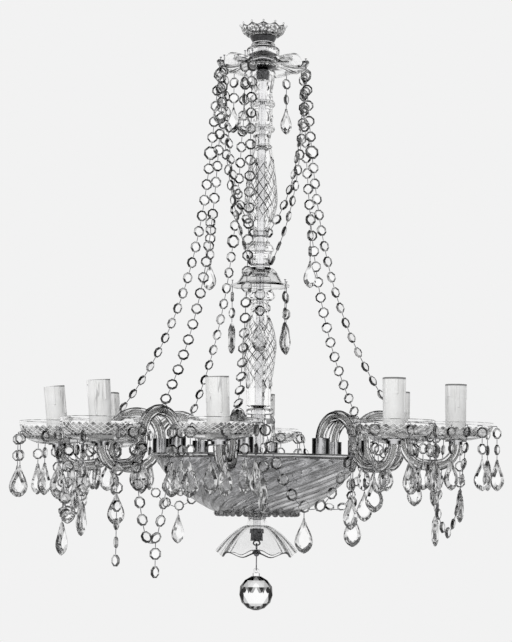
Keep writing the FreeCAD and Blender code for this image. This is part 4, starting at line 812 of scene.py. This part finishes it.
def flared_dish(node, made):
    """The bottom dish: a short neck, then a flared cone of glass with a leaf-lobed rim; its neck ring stays."""
    build = Build()
    for points, faces, _ in islands(node):
        shape = Outline(points, faces)
        rim = max(r for r, _ in shape.outer[0])
        if rim < 2 * LOW_DISH_NECK:
            build.keep(points, faces)
            continue
        bore = shape.inner[0][0][0]
        foot, top = shape.low + LOW_DISH_WAVES[1], shape.high - LOW_DISH_DROP
        cone = [(LOW_DISH_NECK - LOW_DISH_LIP, shape.high), (LOW_DISH_NECK, (shape.high + top) / 2)]
        for k in range(WAVE_ROWS + 1):
            share = k / WAVE_ROWS
            cone.append((LOW_DISH_NECK + (rim - LOW_DISH_NECK) * share, top - (top - foot) * share ** LOW_DISH_ROUND))
        inwards, down = [LOW_DISH_WALL * share for share in LOW_DISH_INSET]
        lower = [(max(r - inwards, bore), z - down) for r, z in cone]
        waved(build, shape.centre, [(bore, shape.high)] + cone, [(bore, shape.high - LOW_DISH_WALL)] + lower,
              LOW_DISH_WAVES, LOW_DISH_NECK)
    build.piece(node + "_flared", [made["sheet"]], node, smooth=40)


def ribs(turn, share):
    """The relief of the crown bowl."""
    return CROWN_RIB_DEPTH * abs(math.sin(CROWN_RIBS / 2 * turn)) * abs(math.sin(CROWN_RIB_ROWS * math.pi * share))


def crown(node, made):
    """The crown bowl: ribbed glass with a scalloped rim and a small bead on each scallop."""
    build, beads = Build(), Build()
    for points, faces, _ in islands(node):
        shape = Outline(points, faces)
        outer, inner = shape.outer[0][::-CROWN_SAMPLE], shape.inner[0][::-CROWN_SAMPLE]
        rim = max(r for r, _ in outer)
        waved(build, shape.centre, outer, inner, CROWN_WAVES, CROWN_HUB_SHARE * rim, ribs)
        for turn in circle(CROWN_WAVES[0]):
            ball(beads, shape.centre + polar(rim, turn, shape.high), CROWN_BEAD_RADIUS)
    build.piece(node + "_cut", [made["lace"]], node, smooth=30)
    beads.piece(node + "_beads", [made["clear"]], node, smooth=60)


def panelled(node, made):
    """The column's spools with flat vertical panels."""
    build = Build()
    sides = SPOOL_PANELS * SPOOL_STEPS
    for points, faces, _ in islands(node):
        shape = Outline(points, faces)
        rings = []
        for k in range(WAVE_ROWS + 1):
            share = k / WAVE_ROWS
            ring = []
            for i, turn in enumerate(circle(sides)):
                r, z = shape.at(share)
                away = abs(((i / SPOOL_STEPS + 0.5) % 1) - 0.5)
                groove = max(0.0, 1 - away * SPOOL_GROOVE_SHARPNESS)
                r = r * SPOOL_WIDER - SPOOL_PANEL_DEPTH * groove * math.sin(math.pi * share)
                ring.append(shape.centre + polar(r, turn, z))
            rings.append(build.ring(ring))
        rings += [build.ring(shape.ring(sides, 1 - k / SPOOL_BORE_ROWS, inside=True))
                  for k in range(SPOOL_BORE_ROWS + 1)]
        build.tube(rings)
    build.piece(node + "_panels", [made["thin"]], node, smooth=25)


def plate_line(node, made):
    """A polished bead round the edge of the arm plate."""
    low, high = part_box(node)
    radius, middle = (high[0] - low[0]) / 2, (low[2] + high[2]) / 2
    build = Build()
    rings = []
    for angle in circle(PLATE_LINE_SIDES):
        r = radius + PLATE_LINE * math.cos(angle) - PLATE_LINE * PLATE_LINE_SUNK
        z = middle + PLATE_LINE * math.sin(angle)
        rings.append(build.ring([polar(r, turn, z) for turn in circle(WAVE_SIDES)]))
    build.tube(rings)
    build.piece("arm_plate_line", [made["steel"]], node, smooth=60, stands_for=False)


def ball(build, centre, radius):
    """A small glass ball."""
    rings = []
    for k in range(1, BALL_ROWS):
        tilt = math.pi * k / BALL_ROWS
        ring = [centre + radius * polar(math.sin(tilt), turn, math.cos(tilt)) for turn in circle(BALL_SIDES)]
        rings.append(build.ring(ring))
    for upper, lower in zip(rings, rings[1:]):
        build.band(upper, lower)
    for ring, way in ((rings[0], 1), (rings[-1], -1)):
        tip = build.ring([centre + Vector((0, 0, way * radius))])[0]
        for i in range(BALL_SIDES):
            build.face([ring[i], ring[(i + 1) % BALL_SIDES], tip])


def swirl_cut(turn, share):
    """How deep a swirled V cut is at a place on the bowl."""
    phase = (turn / (2 * math.pi) + BOWL_SWING * share) * BOWL_CUTS
    away = abs(phase - round(phase)) * 2 / BOWL_CUT_SHARE
    fade = min(1.0, BOWL_FADE * share, BOWL_FADE * (1 - share))
    return BOWL_DEPTH * fade * max(0.0, 1 - away)


def swirled_bowl(node, made):
    """The receiver bowl with swirled cuts on its outside, and the beaded edge under it."""
    build = Build()
    for points, faces, _ in islands(node):
        shape = Outline(points, faces)
        rings = []
        for k in range(BOWL_ROWS + 1):
            share = k / BOWL_ROWS
            rings.append(build.ring([shape.point(turn, share, inset=swirl_cut(turn, share))
                                     for turn in circle(BOWL_SIDES)]))
        rings += [build.ring(shape.ring(BOWL_SIDES, 1 - k / BOWL_ROWS, inside=True)) for k in range(BOWL_ROWS + 1)]
        build.tube(rings)
        edge_z = next(z for r, z in shape.outer[0] if r < BOWL_EDGE_RADIUS)
    build.piece(node + "_cut", [made["smoke"]], node, smooth=22)
    beads = Build()
    for turn in circle(BOWL_BEADS):
        ball(beads, polar(BOWL_EDGE_RADIUS, turn, edge_z), BOWL_BEAD_RADIUS)
    beads.piece("bowl_beaded_edge", [made["edge_bead"]], node, smooth=30)


# The material numbers of the crystals
TABLE, BEVEL, SOFT, WIRE, DROP = range(5)


def octagon(build, points, tips):
    """A cut octagon in a CAD bead's place: a flat table on each side, eight bevels and a girdle."""
    middle = (tips[0] + tips[1]) / 2
    axis = (tips[0] - tips[1]) / 2
    rim = [p for p in points if min((p - tip).length for tip in tips) > WELD]
    side = (rim[0] - middle).normalized()
    up = axis.normalized().cross(side)
    rim.sort(key=lambda p: math.atan2((p - middle).dot(up), (p - middle).dot(side)))
    rings = []
    for across, depth in ((BEAD_TABLE, BEAD_CROWN), (1, BEAD_GIRDLE), (1, -BEAD_GIRDLE), (BEAD_TABLE, -BEAD_CROWN)):
        rings.append(build.ring([middle + (p - middle) * across + axis * depth for p in rim]))
    build.face(rings[0], TABLE)
    for upper, lower in zip(rings, rings[1:]):
        build.band(upper, lower, BEVEL)
    build.face(rings[-1], TABLE)


def pear_drop(build, points, tips):
    """A cut pear drop in a CAD drop's place: its rounded outline, two rows of bevels and a kite table on each side."""
    top, low = sorted(tips, key=lambda p: -p.z)
    along = low - top
    axis = along.normalized()
    spread = [(p - top) - axis * (p - top).dot(axis) for p in points]
    half = max(spread, key=lambda v: v.length)
    through = axis.cross(half.normalized())
    depth = max(abs(v.dot(through)) for v in spread)
    rim = [top + along * s + half * w for s, w in DROP_OUTLINE] + [low]
    rim += [top + along * s - half * w for s, w in reversed(DROP_OUTLINE)]
    middle = top + along * DROP_MIDDLE
    tiers = [(across, share) for across, share in reversed(DROP_TIERS)] + [(a, -d) for a, d in DROP_TIERS]
    rings = [build.ring([middle + (p - middle) * across + through * depth * share for p in rim])
             for across, share in tiers]
    build.face(rings[0], TABLE)
    for number, (upper, lower) in enumerate(zip(rings, rings[1:])):
        build.band(upper, lower, SOFT if number in (0, len(rings) - 2) else DROP)
    build.face(rings[-1], TABLE)


def crystals(node, made):
    """Every octagon and drop of a CAD node as a cut crystal; its pins and hooks stay as they are, in wire."""
    build = Build()
    for points, faces, tips in islands(node):
        ends = [pick(points, key=lambda p: p.z) for pick in (max, min)]
        pointed = tips and all(min((end - tip).length for tip in tips) < WELD for end in ends)
        if len(tips) == 2 and len(points) == BEAD_SIDES + 2:
            octagon(build, points, tips)
        elif len(points) % BEAD_SIDES == 2 and pointed:
            pear_drop(build, points, ends)
        else:
            build.keep(points, faces, WIRE)
    kinds = ("table", "bevel", "soft_bevel", "wire", "drop_bevel")
    build.piece(node + "_cut", [made[kind] for kind in kinds], node)


bpy.context.scene.view_settings.view_transform = "Standard"
add_camera()
make_world()
make_floor()
for row in LIGHTS:
    add_light(*row)
MADE = materials()
for name, node in NODES.items():
    for place in node.material_slots:
        place.material = MADE[NODE_MATERIALS.get(name, SLOT_MATERIALS[SLOT_OF[name]])]
for name in CRYSTAL_NODES:
    crystals(name, MADE)
for row in CUT_BODIES:
    cut_body(*row, MADE)
swirled_bowl("receiver_bowl", MADE)
plate_line("arm_plate", MADE)
petal_disc("top_disc", MADE)
flared_dish("bottom_dish", MADE)
crown("crown_bowl", MADE)
panelled("column_spools", MADE)
